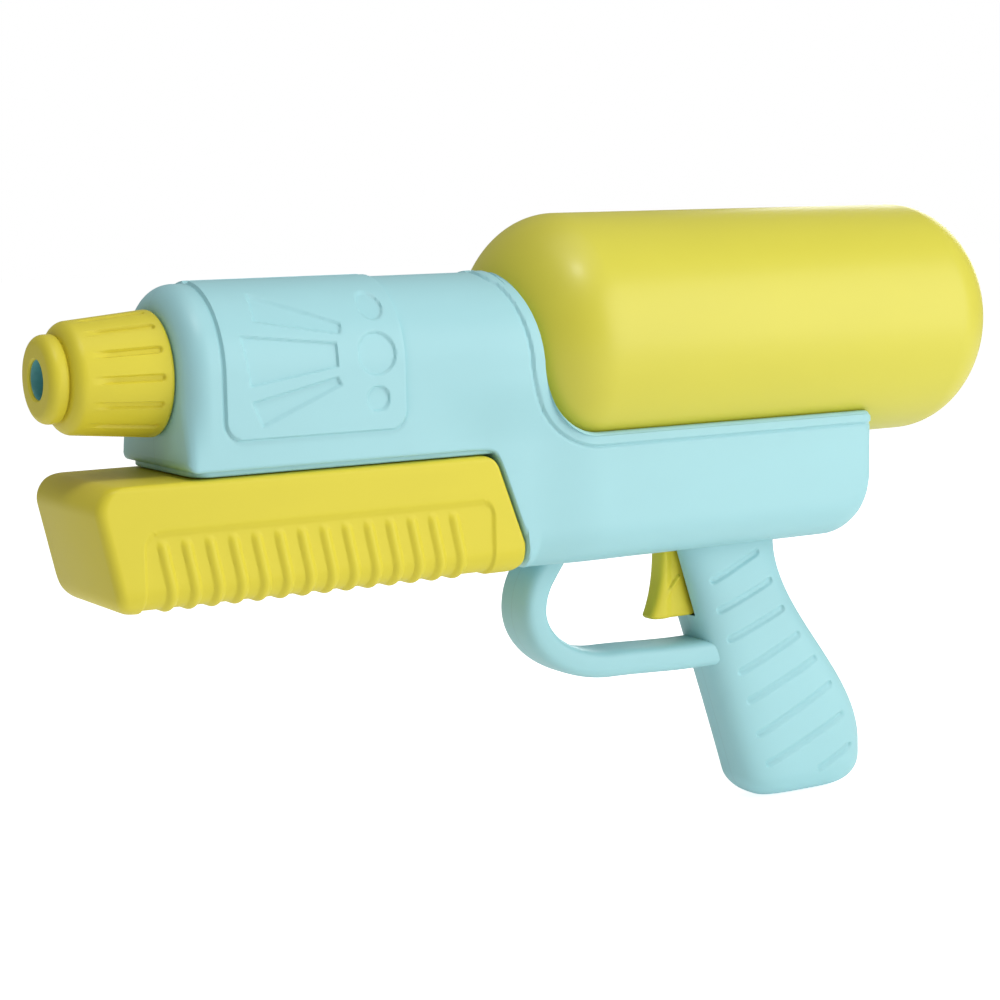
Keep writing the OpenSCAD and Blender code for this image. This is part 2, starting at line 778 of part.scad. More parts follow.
// One half of the body: side is 1 for the left and -1 for the right
module half_shell(side) {
  color(aqua) intersection() {
    difference() {
      body_outside();
      difference() {
        body_inside();
        body_holders();
      }
      body_openings();
    }
    translate([-body_end - through, side > 0 ? 0 : -through, -grip_drop - over])
      cube([body_end + through, through, grip_drop + 2 * through]);
  }
}

module left_shell() half_shell(1);
module right_shell() half_shell(-1);

module shell_screws() {
  color(steel) for (p = screw_places) difference() {
    union() {
      cross_bar(p[0], -p[1], -screw_seat, screw_hold - over, screw_r);
      cross_bar(p[0], -p[1], -screw_seat - head_t, -screw_seat, head_r);
    }
    for (turned = [0, 90]) translate([-p[0], -screw_seat - head_t, p[1]]) rotate([0, turned, 0])
      cube([head_r * 1.2, 2 * over, 0.8], center = true);
  }
}

module nozzle_cap() {
  waist = collar_len + cap_shoulder;
  slope = atan((cap_rim_r - cap_waist_r) / (cap_len - waist));
  color(yellow) difference() {
    turn(concat(
      [[outlet_r, 0]],
      arc(collar_r - collar_round, collar_round, collar_round, -90, 0, 6),
      [[collar_r, collar_len - cap_edge], [collar_r - 1, collar_len]],
      arc(cap_waist_r - cap_shoulder, waist + 0.5, cap_shoulder, -90, -10, 6),
      arc(cap_rim_r - cap_edge, cap_len - cap_edge, cap_edge, 0, 90, 5),
      [[spout_r + run_gap, cap_len], [spout_r + run_gap, seal_front], [pocket_r, seal_front],
        [pocket_r, outlet_depth], [outlet_r, outlet_depth]]
    ));
    for (i = [0:flute_count - 1]) rotate([360 * (i + 0.5) / flute_count, 0, 0])
      translate([-waist - over, 0, cap_waist_r + flute_r - flute_depth]) rotate([0, -90 + slope, 0])
        capsule(flute_r, cap_len - waist - flute_stop);
  }
}

module nozzle_seal() {
  bore = pocket_r + 0.2;
  rim = spout_r - 0.5;
  color(black) turn([[bore, seal_front], [rim, seal_front], [rim, spout_front], [bore, spout_front]]);
}

module jet_disc() {
  front = outlet_depth + disc_gap;
  rear = outlet_depth + disc_t;
  stem = water_r - snug;
  tip = spout_front + stem_len;
  color(teal) turn([
    [jet_r, outlet_depth + 2], [mouth_r, front], [disc_r, front], [disc_r, rear],
    [tail_r, rear], [tail_r, spout_front], [stem, spout_front], [stem, tip], [disc_bore, tip]
  ]);
}

module spout() {
  color(white) turn([
    [water_r, spout_front], [spout_r, spout_front], [spout_r, face_setback + wall],
    [spout_flange_r, face_setback + wall], [spout_flange_r, spout_rear], [tail_r, spout_rear],
    [tail_r, spout_tail - barb_len], [barb_r, spout_tail - barb_len], [barb_r, spout_tail],
    [barb_bore, spout_tail], [barb_bore, spout_rear], [water_r, spout_rear - flange_t]
  ]);
}

module tank() {
  color(yellow) translate([0, 0, tank_rise]) turn(concat(tank_front(0), tank_back(0), tank_hollow()));
}

module tank_seal() {
  color(black) translate([0, 0, tank_rise]) turn([
    [neck_bore - 3, neck_setback - washer_t], [neck_r - 0.3, neck_setback - washer_t],
    [neck_r - 0.3, neck_setback], [neck_bore - 3, neck_setback]
  ]);
}

module tank_socket() {
  plate = neck_setback - washer_t;
  color(white) difference() {
    union() {
      translate([0, 0, tank_rise]) turn([
        [hose_r + snug, socket_front], [socket_r, socket_front], [socket_r, socket_rear],
        [neck_r + run_gap, socket_rear], [neck_r + run_gap, plate], [hose_r + snug, plate]
      ]);
      for (y = [-port_y, port_y]) translate([-port_setback, y, -port_drop])
        cylinder(h = port_drop - port_top + 2, r = barb_r);
    }
    for (y = [-port_y, port_y]) translate([-port_setback, y, -port_drop - over])
      cylinder(h = port_drop + tank_rise - neck_r + 2, r = barb_bore);
  }
}

module feed_tube() color(white) hose(curve(feed_route, 3), hose_r, hose_bore);

// Section of the pump handle as height and left side, inside a wall
function handle_section(inset) =
  let (half = handle_half - inset, crown = max(0.5, handle_crown - inset), keel = keel_round - inset)
    both_sides(concat(
      arc(-handle_top - inset - crown, half - crown, crown, 0, 90, 5),
      arc(-handle_drop + inset + keel, half - keel, keel, 90, 180, 8)
    ));

// Side view of the pump handle, inside a wall
function handle_outline(inset) =
  let (
    top = handle_top + inset,
    low = handle_drop - inset,
    brow = brow_round - inset,
    chin = chin_round - inset,
    brow_x = -handle_front - inset - brow,
    run = (top + brow + brow * sin(handle_rake)) - (low - chin + chin * sin(handle_rake)),
    chin_x = brow_x + (brow - chin) * cos(handle_rake) + run * tan(handle_rake),
    heel = handle_heel - inset / 2,
    gap = handle_gap + inset,
    rear = step_x(low - heel) + gap + heel
  )
    concat(
      arc(brow_x, -top - brow, brow, 90, -handle_rake, 8),
      arc(chin_x, -low + chin, chin, -handle_rake, -90, 8),
      arc(rear, -low + heel, heel, -90, -180, 6),
      [[step_x(foot_drop) + gap, -foot_drop]],
      arc(step_x(top + heel) + gap + heel, -top - heel, heel, 161, 90, 6)
    );

module handle_solid(inset) {
  intersection() {
    along_y(-through, through) polygon(handle_outline(inset));
    along_x(0, step_foot + over) polygon(handle_section(inset));
  }
}

// Grooves that leave the grip ribs standing
module rib_grooves() {
  for (i = [0:rib_count - 1]) {
    s = rib_setback + i * rib_pitch;
    difference() {
      block(s, s + groove_w, through, -handle_drop - over, -rib_drop);
      along_x(s - over, s + groove_w + over) polygon(handle_section(groove_depth));
    }
  }
}

module pump_handle() {
  color(yellow) difference() {
    handle_solid(0);
    difference() {
      handle_solid(handle_wall);
      block(boss_front, boss_rear, boss_half, -handle_drop, -pump_drop + boss_half);
      for (s = post_setbacks) translate([-s, 0, -handle_drop])
        cylinder(h = handle_drop - handle_top, r = post_r);
    }
    rib_grooves();
    block(plate_front, plate_rear, plate_half, -handle_top - plate_t, -handle_top + over);
    bar(rod_front, step_foot + over, rod_r + snug, pump_drop);
    cross_bar(rod_pin_setback, pump_drop, -boss_half - over, boss_half + over, pin_r + snug);
    for (s = post_setbacks) translate([-s, 0, -handle_top - 12]) cylinder(h = 12, r = screw_r + snug);
  }
}

module handle_slide() {
  side = plate_half - snug;
  tee_low = barrel_floor - slide_gap;
  color(aqua) difference() {
    union() {
      block(plate_front + snug, plate_rear - snug, side, -handle_top - plate_t, -handle_top);
      block(tee_front, tee_rear, neck_half, -handle_top - over, -tee_low + over);
      block(tee_front, tee_rear, tee_half, -tee_low, -tee_low + tee_t);
    }
    for (s = post_setbacks) translate([-s, 0, -handle_top - plate_t - over]) {
      cylinder(h = plate_t + 2 * over, r = screw_r + snug);
      translate([0, 0, over + 1]) cylinder(h = plate_t, r = head_r + snug);
    }
  }
}

module handle_screws() {
  color(steel) for (s = post_setbacks) translate([-s, 0, -handle_top - plate_t]) difference() {
    union() {
      translate([0, 0, -post_screw]) cylinder(h = post_screw + over, r = screw_r);
      translate([0, 0, over]) cylinder(h = plate_t - 1.2 * over, r = head_r);
    }
    for (turned = [0, 90]) translate([0, 0, plate_t]) rotate([0, 0, turned])
      cube([head_r * 1.2, 0.8, 1], center = true);
  }
}

module pump_rod() {
  color(white) difference() {
    union() {
      bar(rod_front, piston_front, rod_r, pump_drop);
      bar(piston_front - over, piston_front + piston_len - rod_step, rod_r - rod_step, pump_drop);
    }
    cross_bar(rod_pin_setback, pump_drop, -rod_r - over, rod_r + over, pin_r + snug);
  }
}

module rod_pin() color(steel) cross_bar(rod_pin_setback, pump_drop, -boss_half, boss_half, pin_r);

module piston() {
  r = bore_r - 0.3;
  groove = bore_r - seal_depth;
  mid = piston_front + piston_len / 2;
  rear = piston_front + piston_len;
  side = seal_w / 2 + snug;
  bore = rod_r - rod_step + snug;
  head = rear - rod_step + 0.1;
  color(grey) translate([0, 0, -pump_drop]) turn([
    [bore, piston_front], [r, piston_front], [r, mid - side], [groove, mid - side],
    [groove, mid + side], [r, mid + side], [r, rear], [0, rear], [0, head], [bore, head]
  ]);
}

module piston_seal() {
  mid = piston_front + piston_len / 2;
  inner = bore_r - seal_depth + snug;
  outer = bore_r - run_gap;
  edge = bore_r - 0.6;
  land = 0.8;
  color(black) translate([0, 0, -pump_drop]) turn([
    [inner, mid - seal_w / 2], [edge, mid - seal_w / 2], [outer, mid - land],
    [outer, mid + land], [edge, mid + seal_w / 2], [inner, mid + seal_w / 2]
  ]);
}

module pump_cylinder() {
  color(white) translate([0, 0, -pump_drop]) turn([
    [bore_r, gland_rear], [cylinder_r, gland_rear], [cylinder_r, cylinder_rear], [bore_r, cylinder_rear]
  ]);
}

module cylinder_gland() {
  color(grey) translate([0, 0, -pump_drop]) turn([
    [rod_r + run_gap, gland_setback], [cylinder_r, gland_setback], [cylinder_r, gland_rear],
    [bore_r - snug, gland_rear], [bore_r - snug, chamber_front], [rod_r + run_gap, chamber_front]
  ]);
}

module cylinder_end() {
  rear = cylinder_rear + end_t;
  cage = ball_r + 0.3;
  color(grey) difference() {
    union() {
      translate([0, 0, -pump_drop]) turn([
        [0, chamber_rear], [bore_r - snug, chamber_rear], [bore_r - snug, cylinder_rear],
        [cylinder_r, cylinder_rear], [cylinder_r, rear], [0, rear]
      ]);
      cross_bar(end_port_setback, pump_drop, -cylinder_r - barb_len, -cylinder_r + 2, barb_r);
    }
    bar(chamber_rear - over, cylinder_rear, barb_bore, pump_drop);
    bar(cylinder_rear - 0.5, cylinder_rear + end_t - 1, cage, pump_drop);
    cross_bar(end_port_setback, pump_drop, -cylinder_r - barb_len - over, 0, barb_bore);
  }
}

module check_ball() {
  color(steel) translate([-(cylinder_rear - 0.5 + ball_r + 0.1), 0, -pump_drop - 0.2]) sphere(r = ball_r);
}

// Side view of the trigger below its hub: its front is a cubic that hooks forward at the tip
function trigger_outline() = concat(
  [[-blade_back, -pivot_drop], [-pivot_setback + hub_r, -pivot_drop]],
  [for (i = [0:8]) let (t = i / 8, drop = blade_top + (trigger_drop - blade_toe - blade_top) * t)
    [-pivot_setback + blade_lead + blade_lean * t + blade_hook * t * t * t, -drop]],
  [[-pivot_setback + blade_lead + blade_hook - blade_toe / 2, -trigger_drop],
    [-blade_back + 4, -trigger_drop], [-blade_back, -trigger_drop + 2]]
);

module trigger() {
  half = trigger_w / 2;
  color(yellow) difference() {
    union() {
      cross_bar(pivot_setback, pivot_drop, -half, half, hub_r);
      along_y(-half, half) polygon(trigger_outline());
    }
    cross_bar(pivot_setback, pivot_drop, -half - over, half + over, pin_r + run_gap);
  }
}

module trigger_pin() color(steel) cross_bar(pivot_setback, pivot_drop, -pin_half, pin_half, pin_r);

module valve_housing() {
  color(white) difference() {
    union() {
      bar(valve_front, valve_rear, valve_r, valve_drop);
      for (s = [jet_port, feed_port]) translate([-s, 0, -valve_drop + valve_bore])
        cylinder(h = valve_drop - valve_bore - valve_port_top, r = barb_r);
    }
    bar(valve_front - over, valve_rear, stem_r + run_gap, valve_drop);
    bar(valve_front + valve_wall, valve_rear + over, valve_bore, valve_drop);
    for (s = [jet_port, feed_port]) translate([-s, 0, -valve_drop])
      cylinder(h = valve_drop - valve_port_top + over, r = barb_bore);
  }
}

module valve_pin() {
  color(grey) {
    bar(stem_front, stem_rear, stem_r, valve_drop);
    bar(stem_collar, stem_collar + stem_collar_t, valve_bore - 1, valve_drop);
  }
}

module valve_seal() {
  front = stem_collar - 2.5;
  color(black) translate([0, 0, -valve_drop]) turn([
    [stem_r + snug, front], [valve_bore - run_gap, front], [valve_bore - run_gap, stem_collar],
    [stem_r + snug, stem_collar]
  ]);
}

module valve_spring() {
  from = stem_collar + stem_collar_t + spring_wire + 0.1;
  to = valve_rear - plug_t - spring_wire - 0.1;
  r = (stem_r + valve_bore) / 2;
  steps = spring_turns * 10;
  color(steel) wire([for (i = [0:steps]) let (a = 360 * spring_turns * i / steps)
    [-(from + (to - from) * i / steps), r * cos(a), -valve_drop + r * sin(a)]], spring_wire, 6);
}

module valve_plug() {
  color(grey) {
    bar(valve_rear - plug_t, valve_rear, valve_bore - snug, valve_drop);
    bar(valve_rear, valve_rear + 2, valve_r, valve_drop);
  }
}

module water_hose() color(white) hose(curve(water_route, 2), hose_r, hose_bore);
module jet_hose() color(white) hose(curve(jet_route, 2), hose_r, hose_bore);
module air_hose() color(white) hose(curve(air_route, 2), hose_r, hose_bore);

left_shell();
right_shell();
shell_screws();
nozzle_cap();
nozzle_seal();
jet_disc();
spout();
tank();
tank_seal();
tank_socket();
feed_tube();
pump_handle();
handle_slide();
handle_screws();
pump_rod();
rod_pin();
piston();
piston_seal();
pump_cylinder();
cylinder_gland();
cylinder_end();
check_ball();
trigger();
trigger_pin();
valve_housing();
valve_pin();
valve_seal();
valve_spring();
valve_plug();
water_hose();
jet_hose();
air_hose();
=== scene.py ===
"""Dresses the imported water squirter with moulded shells, a tank, a handle, a nozzle cap and a trigger.

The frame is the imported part's own: +X is the way the water leaves, +Y is the left side, +Z is up, and the
origin is the middle of the nozzle outlet. Sizes here are in millimetres and become metres when a mesh is
made. A setback is a distance behind the outlet, so the X of a point is minus its setback, and a drop is a
distance below the nozzle's axis.
"""

import json
import logging
import math
from dataclasses import dataclass, field
from enum import Enum
from typing import Any, Optional, Sequence, Union

import bmesh
import bpy
import numpy as np
from mathutils import Matrix

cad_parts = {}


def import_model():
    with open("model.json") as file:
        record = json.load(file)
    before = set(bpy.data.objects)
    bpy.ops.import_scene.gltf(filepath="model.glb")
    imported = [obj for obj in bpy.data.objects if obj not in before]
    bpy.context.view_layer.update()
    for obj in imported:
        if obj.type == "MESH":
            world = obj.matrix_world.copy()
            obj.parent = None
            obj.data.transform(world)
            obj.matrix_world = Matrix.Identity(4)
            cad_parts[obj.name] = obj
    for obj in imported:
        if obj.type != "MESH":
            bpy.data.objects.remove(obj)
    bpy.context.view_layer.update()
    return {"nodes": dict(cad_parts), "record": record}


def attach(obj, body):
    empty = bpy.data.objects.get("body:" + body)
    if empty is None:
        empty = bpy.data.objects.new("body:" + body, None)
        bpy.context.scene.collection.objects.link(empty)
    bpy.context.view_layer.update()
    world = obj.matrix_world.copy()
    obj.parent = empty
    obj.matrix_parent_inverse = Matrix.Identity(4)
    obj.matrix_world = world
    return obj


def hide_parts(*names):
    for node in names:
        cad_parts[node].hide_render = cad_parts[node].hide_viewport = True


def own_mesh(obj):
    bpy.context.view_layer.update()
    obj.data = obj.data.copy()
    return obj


Array = np.ndarray
Number = Union[float, int]
Span = tuple[float, float]
Triple = tuple[float, float, float]

MM = 0.001
QUARTER = np.pi / 2
FULL_TURN = 2.0 * np.pi
LOG = logging.getLogger("squirter")

# Gaps in metres that are closed in a mesh, and the angle in degrees past which an edge stays sharp
MERGE_GAP = 1e-6
FLAT_GAP = 1e-7
CREASE = 38.0

# Points that a superellipse is measured by, and sides of a round hole
OUTLINE_POINTS = 4001
HOLE_SIDES = 48

# CAD nodes that the shell's pieces stand for, and sizes that more than one piece is made or cut by
SHELLS = ("left_shell", "right_shell")
PUMP_HEIGHT = -54.0
VALVE_HEIGHT = -86.0
RAIL_SLOT = (64.0, 147.4)
RAIL_SLOT_HALF = 4.4
TRIGGER_SLOT = (236.0, 264.0)
TRIGGER_SLOT_HALF = 5.25
SCREW_WELL_R = 3.4
SCREW_WELL_END = -8.0


# Numbers and outlines


def smoothstep(low: float, high: float, value: Array) -> Array:
    """Rises smoothly from 0 at low to 1 at high, as 3t^2 - 2t^3.

    Args:
        low: Value where the rise starts.
        high: Value where it ends.
        value: Values to place on the rise.

    Returns:
        The height of the rise at each value.
    """
    t = np.clip((value - low) / (high - low), 0.0, 1.0)
    return t * t * (3.0 - 2.0 * t)


def within(distance: Array, soft: float) -> Array:
    """1 inside a form and 0 outside it, with a smooth step of the signed distance between."""
    return 1.0 - smoothstep(-soft, soft, distance)


def dent(distance: Array, half: float) -> Array:
    """A bell of height 1 round zero: exp(-(d / half)^2)."""
    return np.exp(-((distance / half) ** 2))


def fillet(distance: Array, radius: float) -> Array:
    """Inset of a quarter-round edge: r - sqrt(r^2 - (r - d)^2), and nothing past the radius.

    Args:
        distance: How far each point lies behind the edge.
        radius: Radius of the rounding.

    Returns:
        How far the surface draws in at each point.
    """
    left = np.clip(radius - distance, 0.0, radius)
    return radius - np.sqrt(radius * radius - left * left)


def steps(count: int, end: float = 1.0) -> Array:
    """Even steps from 0 towards an end, without the end itself."""
    return np.linspace(0.0, end, count, endpoint=False)


def stations(start: float, *stretches: tuple[float, int]) -> Array:
    """Joins evenly spaced stretches of stations.

    Args:
        start: First station.
        stretches: The end of each stretch and its count of steps.

    Returns:
        All stations in order, with the last end included.
    """
    parts = []
    for end, count in stretches:
        parts.append(np.linspace(start, end, count, endpoint=False))
        start = end
    return np.concatenate(parts + [np.array([start])])


def stacked(*parts: Union[Array, float]) -> Array:
    """Arrays side by side along a new last axis, all spread to a common shape first."""
    return np.stack(np.broadcast_arrays(*parts), axis=-1)


def polygon_distance(s: Array, z: Array, corners: Sequence[Span]) -> Array:
    """Signed distance to a convex polygon: the greatest signed distance to its edge lines.

    Args:
        s: Setbacks of the points.
        z: Heights of the points.
        corners: Corners of the polygon in order, as setback and height.

    Returns:
        Distances, negative inside.
    """
    ring = np.array(corners)
    centre = ring.mean(axis=0)
    worst = np.full(np.broadcast(s, z).shape, -np.inf)
    for start, end in zip(ring, np.roll(ring, -1, axis=0)):
        along = (end - start) / np.linalg.norm(end - start)
        normal = np.array([along[1], -along[0]])
        if np.dot(centre - start, normal) > 0.0:
            normal = -normal
        worst = np.maximum(worst, (s - start[0]) * normal[0] + (z - start[1]) * normal[1])
    return worst


def panel_distance(s: Array, beyond: Array, ends: Span, radius: float) -> Array:
    """Signed distance to a panel with two round corners on its one closed long edge.

    It is the distance to a box drawn in by the radius, outside and inside together, less the radius.

    Args:
        s: Setbacks of the points.
        beyond: How far each point lies past the closed long edge.
        ends: Front and rear end of the panel.
        radius: Radius of its corners.

    Returns:
        Distances, negative inside.
    """
    across = np.maximum(ends[0] - s, s - ends[1]) + radius
    past = beyond + radius
    outer = np.hypot(np.maximum(across, 0.0), np.maximum(past, 0.0))
    return outer + np.minimum(np.maximum(across, past), 0.0) - radius


def line_distance(s: Array, z: Array, points: Array) -> Array:
    """Distance to an open line of points: the least distance to any of its pieces.

    Args:
        s: Setbacks of the points to measure.
        z: Heights of the points to measure.
        points: The line's own points, as setback and height.

    Returns:
        Distance of each point.
    """
    least = np.full(np.broadcast(s, z).shape, np.inf)
    for start, end in zip(points[:-1], points[1:]):
        span = end - start
        t = np.clip(((s - start[0]) * span[0] + (z - start[1]) * span[1]) / np.dot(span, span), 0.0, 1.0)
        least = np.minimum(least, np.hypot(s - start[0] - t * span[0], z - start[1] - t * span[1]))
    return least


def superellipse(count: int, half_long: float, half_wide: float, power: float) -> Array:
    """Even steps round a superellipse: (sign(cos a) |cos a|^p, sign(sin a) |sin a|^p).

    Args:
        count: Number of points.
        half_long: Half length that sets the spacing.
        half_wide: Half width that sets the spacing.
        power: Power of the cosine and sine, below 1 for squarer corners.

    Returns:
        Points of the unit shape, evenly spaced when it is stretched to those halves.
    """
    fine = np.linspace(0.0, FULL_TURN, OUTLINE_POINTS)
    cos, sin = np.cos(fine), np.sin(fine)
    unit = stacked(np.sign(cos) * np.abs(cos) ** power, np.sign(sin) * np.abs(sin) ** power)
    gaps = np.hypot(*(np.diff(unit, axis=0) * [half_long, half_wide]).T)
    run = np.concatenate([[0.0], np.cumsum(gaps)])
    wanted = steps(count, run[-1])
    return stacked(np.interp(wanted, run, unit[:, 0]), np.interp(wanted, run, unit[:, 1]))


# Surfaces and meshes


@dataclass
class Surface:
    """Points in millimetres and the faces between them."""

    points: Array
    faces: list[list[int]]


def grid_quads(rows: int, columns: int, wrap_rows: bool = False) -> Array:
    """Quads of a grid whose columns close on themselves.

    Args:
        rows: Number of rows of points.
        columns: Number of points in a row.
        wrap_rows: Whether the last row joins the first.

    Returns:
        Four point numbers for each quad.
    """
    row = np.arange(rows if wrap_rows else rows - 1)[:, None]
    column = np.arange(columns)[None, :]
    below, beside = (row + 1) % rows, (column + 1) % columns
    row, below = row * columns, below * columns
    return stacked(row + column, row + beside, below + beside, below + column).reshape(-1, 4)


def loft_halves(left: Array) -> Surface:
    """A closed skin through rings that mirror about the middle plane, with each end laced from side to side.

    Args:
        left: Left half of each ring, from its lowest to its highest point on the middle plane.

    Returns:
        The closed surface.
    """
    right = left[:, -2:0:-1] * [1.0, -1.0, 1.0]
    rings = np.concatenate([left, right], axis=1)
    count, around = rings.shape[:2]
    near = np.arange(left.shape[1])
    far = (around - near) % around
    lace = stacked(near[:-1], near[1:], far[1:], far[:-1])
    ends = np.concatenate([lace, lace + (count - 1) * around])
    return Surface(rings.reshape(-1, 3), grid_quads(count, around).tolist() + ends.tolist())


def loft(rings: Array) -> Surface:
    """A closed skin through rings of points: quads between rings, and a fan to the mean point at each end.

    Args:
        rings: Points of each ring, as rings by points by three.

    Returns:
        The closed surface.
    """
    count, around = rings.shape[:2]
    rim = np.arange(around)
    beside = (rim + 1) % around
    first, last = count * around, count * around + 1
    base = (count - 1) * around
    front = stacked(first, beside, rim)
    back = stacked(last, base + rim, base + beside)
    points = np.concatenate([rings.reshape(-1, 3), rings[:1].mean(axis=1), rings[-1:].mean(axis=1)])
    return Surface(points, grid_quads(count, around).tolist() + front.tolist() + back.tolist())


def spin(profile: Array, height: float = 0.0, turns: int = 128, closed: bool = True) -> Surface:
    """A surface of revolution about a line along X: (-s, r cos a, r sin a + height).

    Args:
        profile: Radius and setback of each profile point.
        height: Height of the axis.
        turns: Number of steps round the axis.
        closed: Whether the profile's end joins its start. An open one starts and ends on the axis.

    Returns:
        The closed surface.
    """
    angle = steps(turns, FULL_TURN)
    radius, setback = profile[:, :1], profile[:, 1:]
    points = stacked(-setback, radius * np.cos(angle), radius * np.sin(angle) + height)
    return Surface(points.reshape(-1, 3), grid_quads(len(profile), turns, closed).tolist())


def block(setbacks: Span, half: float, heights: Span) -> Surface:
    """A plain block, used only to take material away: two rings of four corners.

    Args:
        setbacks: Front and rear setback.
        half: Half of its width.
        heights: Low and high side.

    Returns:
        The closed surface.
    """
    low, high = heights
    y = np.array([-half, half, half, -half])
    z = np.array([low, low, high, high])
    return loft(stacked(-np.array(setbacks)[:, None], y, z))


def cross_hole(setback: float, height: float, reach: Span, radius: float) -> Surface:
    """A round hole along Y, used only to take material away: two circles joined.

    Args:
        setback: Setback of its axis.
        height: Height of its axis.
        reach: Where it starts and ends along Y.
        radius: Radius of the hole.

    Returns:
        The closed surface.
    """
    angle = steps(HOLE_SIDES, FULL_TURN)
    x = radius * np.cos(angle) - setback
    z = radius * np.sin(angle) + height
    return loft(stacked(x, np.array(reach)[:, None], z))


def bore(height: float, turns: int, lengths: Sequence[Triple]) -> Surface:
    """A stepped round hole along X, used only to take material away: a spun profile of straight walls.

    Args:
        height: Height of its axis.
        turns: Number of steps round the axis.
        lengths: Each length of the hole, as its radius, its front and its rear setback.

    Returns:
        The closed surface.
    """
    walls = [corner for radius, front, rear in lengths for corner in ((radius, front), (radius, rear))]
    profile = [(0.0, lengths[0][1]), *walls, (0.0, lengths[-1][2])]
    return spin(np.array(profile), height, turns, closed=False)


def shade(mesh: bpy.types.Mesh, crease: float) -> None:
    """Merges doubles, turns faces outwards and smooths all but the creases.

    Args:
        mesh: Mesh to finish.
        crease: Angle between faces, in degrees, past which an edge stays sharp.
    """
    work = bmesh.new()
    work.from_mesh(mesh)
    bmesh.ops.remove_doubles(work, verts=work.verts, dist=MERGE_GAP)
    bmesh.ops.dissolve_degenerate(work, edges=work.edges, dist=FLAT_GAP)
    bmesh.ops.recalc_face_normals(work, faces=work.faces)
    work.to_mesh(mesh)
    work.free()
    mesh.shade_smooth()
    mesh.set_sharp_from_angle(angle=math.radians(crease))


def make_object(name: str, surface: Surface, crease: float = CREASE) -> bpy.types.Object:
    """Puts a surface into the scene as a mesh object at the origin.

    Args:
        name: Name of the piece.
        surface: Its points and faces.
        crease: Angle past which an edge stays sharp.

    Returns:
        The new object.
    """
    mesh = bpy.data.meshes.new(name)
    mesh.from_pydata((surface.points * MM).tolist(), [], surface.faces)
    shade(mesh, crease)
    piece = bpy.data.objects.new(name, mesh)
    bpy.context.scene.collection.objects.link(piece)
    return piece


def carve(piece: bpy.types.Object, tools: Sequence[Surface]) -> None:
    """Takes closed surfaces away from a piece, one after another, and keeps the result as its mesh.

    Args:
        piece: Piece to cut.
        tools: Surfaces to take away.
    """
    for surface in tools:
        tool = make_object("carving_tool", surface)
        cut = piece.modifiers.new("carve", "BOOLEAN")
        cut.operation = "DIFFERENCE"
        cut.solver = "EXACT"
        cut.object = tool
        graph = bpy.context.evaluated_depsgraph_get()
        carved = bpy.data.meshes.new_from_object(piece.evaluated_get(graph))
        piece.modifiers.remove(cut)
        worn = piece.data
        piece.data = carved
        carved.name = piece.name
        bpy.data.meshes.remove(worn)
        tool_mesh = tool.data
        bpy.data.objects.remove(tool)
        bpy.data.meshes.remove(tool_mesh)
    shade(piece.data, CREASE)


# Finishes


class Value:
    """A shader value that takes part in Python arithmetic: each operation adds one Math node."""

    def __init__(self, shader: "Shader", socket: bpy.types.NodeSocket) -> None:
        """Wraps one output socket of a shader's node tree."""
        self.shader = shader
        self.socket = socket

    def math(self, operation: str, *others: Union["Value", Number]) -> "Value":
        """Adds a Math node that works on this value first, and gives its result."""
        return self.shader.maths(operation, self, *others)

    def __add__(self, other: Union["Value", Number]) -> "Value":
        """This value plus another."""
        return self.math("ADD", other)

    __radd__ = __add__

    def __sub__(self, other: Union["Value", Number]) -> "Value":
        """This value minus another."""
        return self.math("SUBTRACT", other)

    def __rsub__(self, other: Number) -> "Value":
        """A number minus this value."""
        return self.shader.maths("SUBTRACT", other, self)

    def __mul__(self, other: Union["Value", Number]) -> "Value":
        """This value times another."""
        return self.math("MULTIPLY", other)

    __rmul__ = __mul__

    def __abs__(self) -> "Value":
        """This value without its sign."""
        return self.math("ABSOLUTE")


class NodeTree:
    """The node tree of a material or of the sky, with one way to add a node."""

    def __init__(self, owner: Union[bpy.types.Material, bpy.types.World]) -> None:
        """Turns on the owner's nodes and keeps its tree."""
        owner.use_nodes = True
        self.tree = owner.node_tree

    def node(self, kind: str, settings: Optional[dict[str, Any]] = None, **inputs: Any) -> bpy.types.Node:
        """Adds a node, sets it up and fills its sockets.

        Args:
            kind: Type of the node.
            settings: Attributes to set first.
            inputs: Values, wrapped values or sockets for its inputs, by name with _ for a space, or by place
                as i0, i1 and so on.

        Returns:
            The new node.
        """
        made = self.tree.nodes.new(kind)
        for key, value in (settings or {}).items():
            setattr(made, key, value)
        for key, value in inputs.items():
            by_place = key[0] == "i" and key[1:].isdigit()
            self.feed(made.inputs[int(key[1:]) if by_place else key.replace("_", " ")], value)
        return made

    def feed(self, socket: bpy.types.NodeSocket, value: Any) -> None:
        """Links a value to a socket, or sets it there if it is a plain number or colour.

        Args:
            socket: Input to fill.
            value: Wrapped value, output socket, number or colour.
        """
        if isinstance(value, Value):
            value = value.socket
        if isinstance(value, bpy.types.NodeSocket):
            self.tree.links.new(value, socket)
        else:
            socket.default_value = value


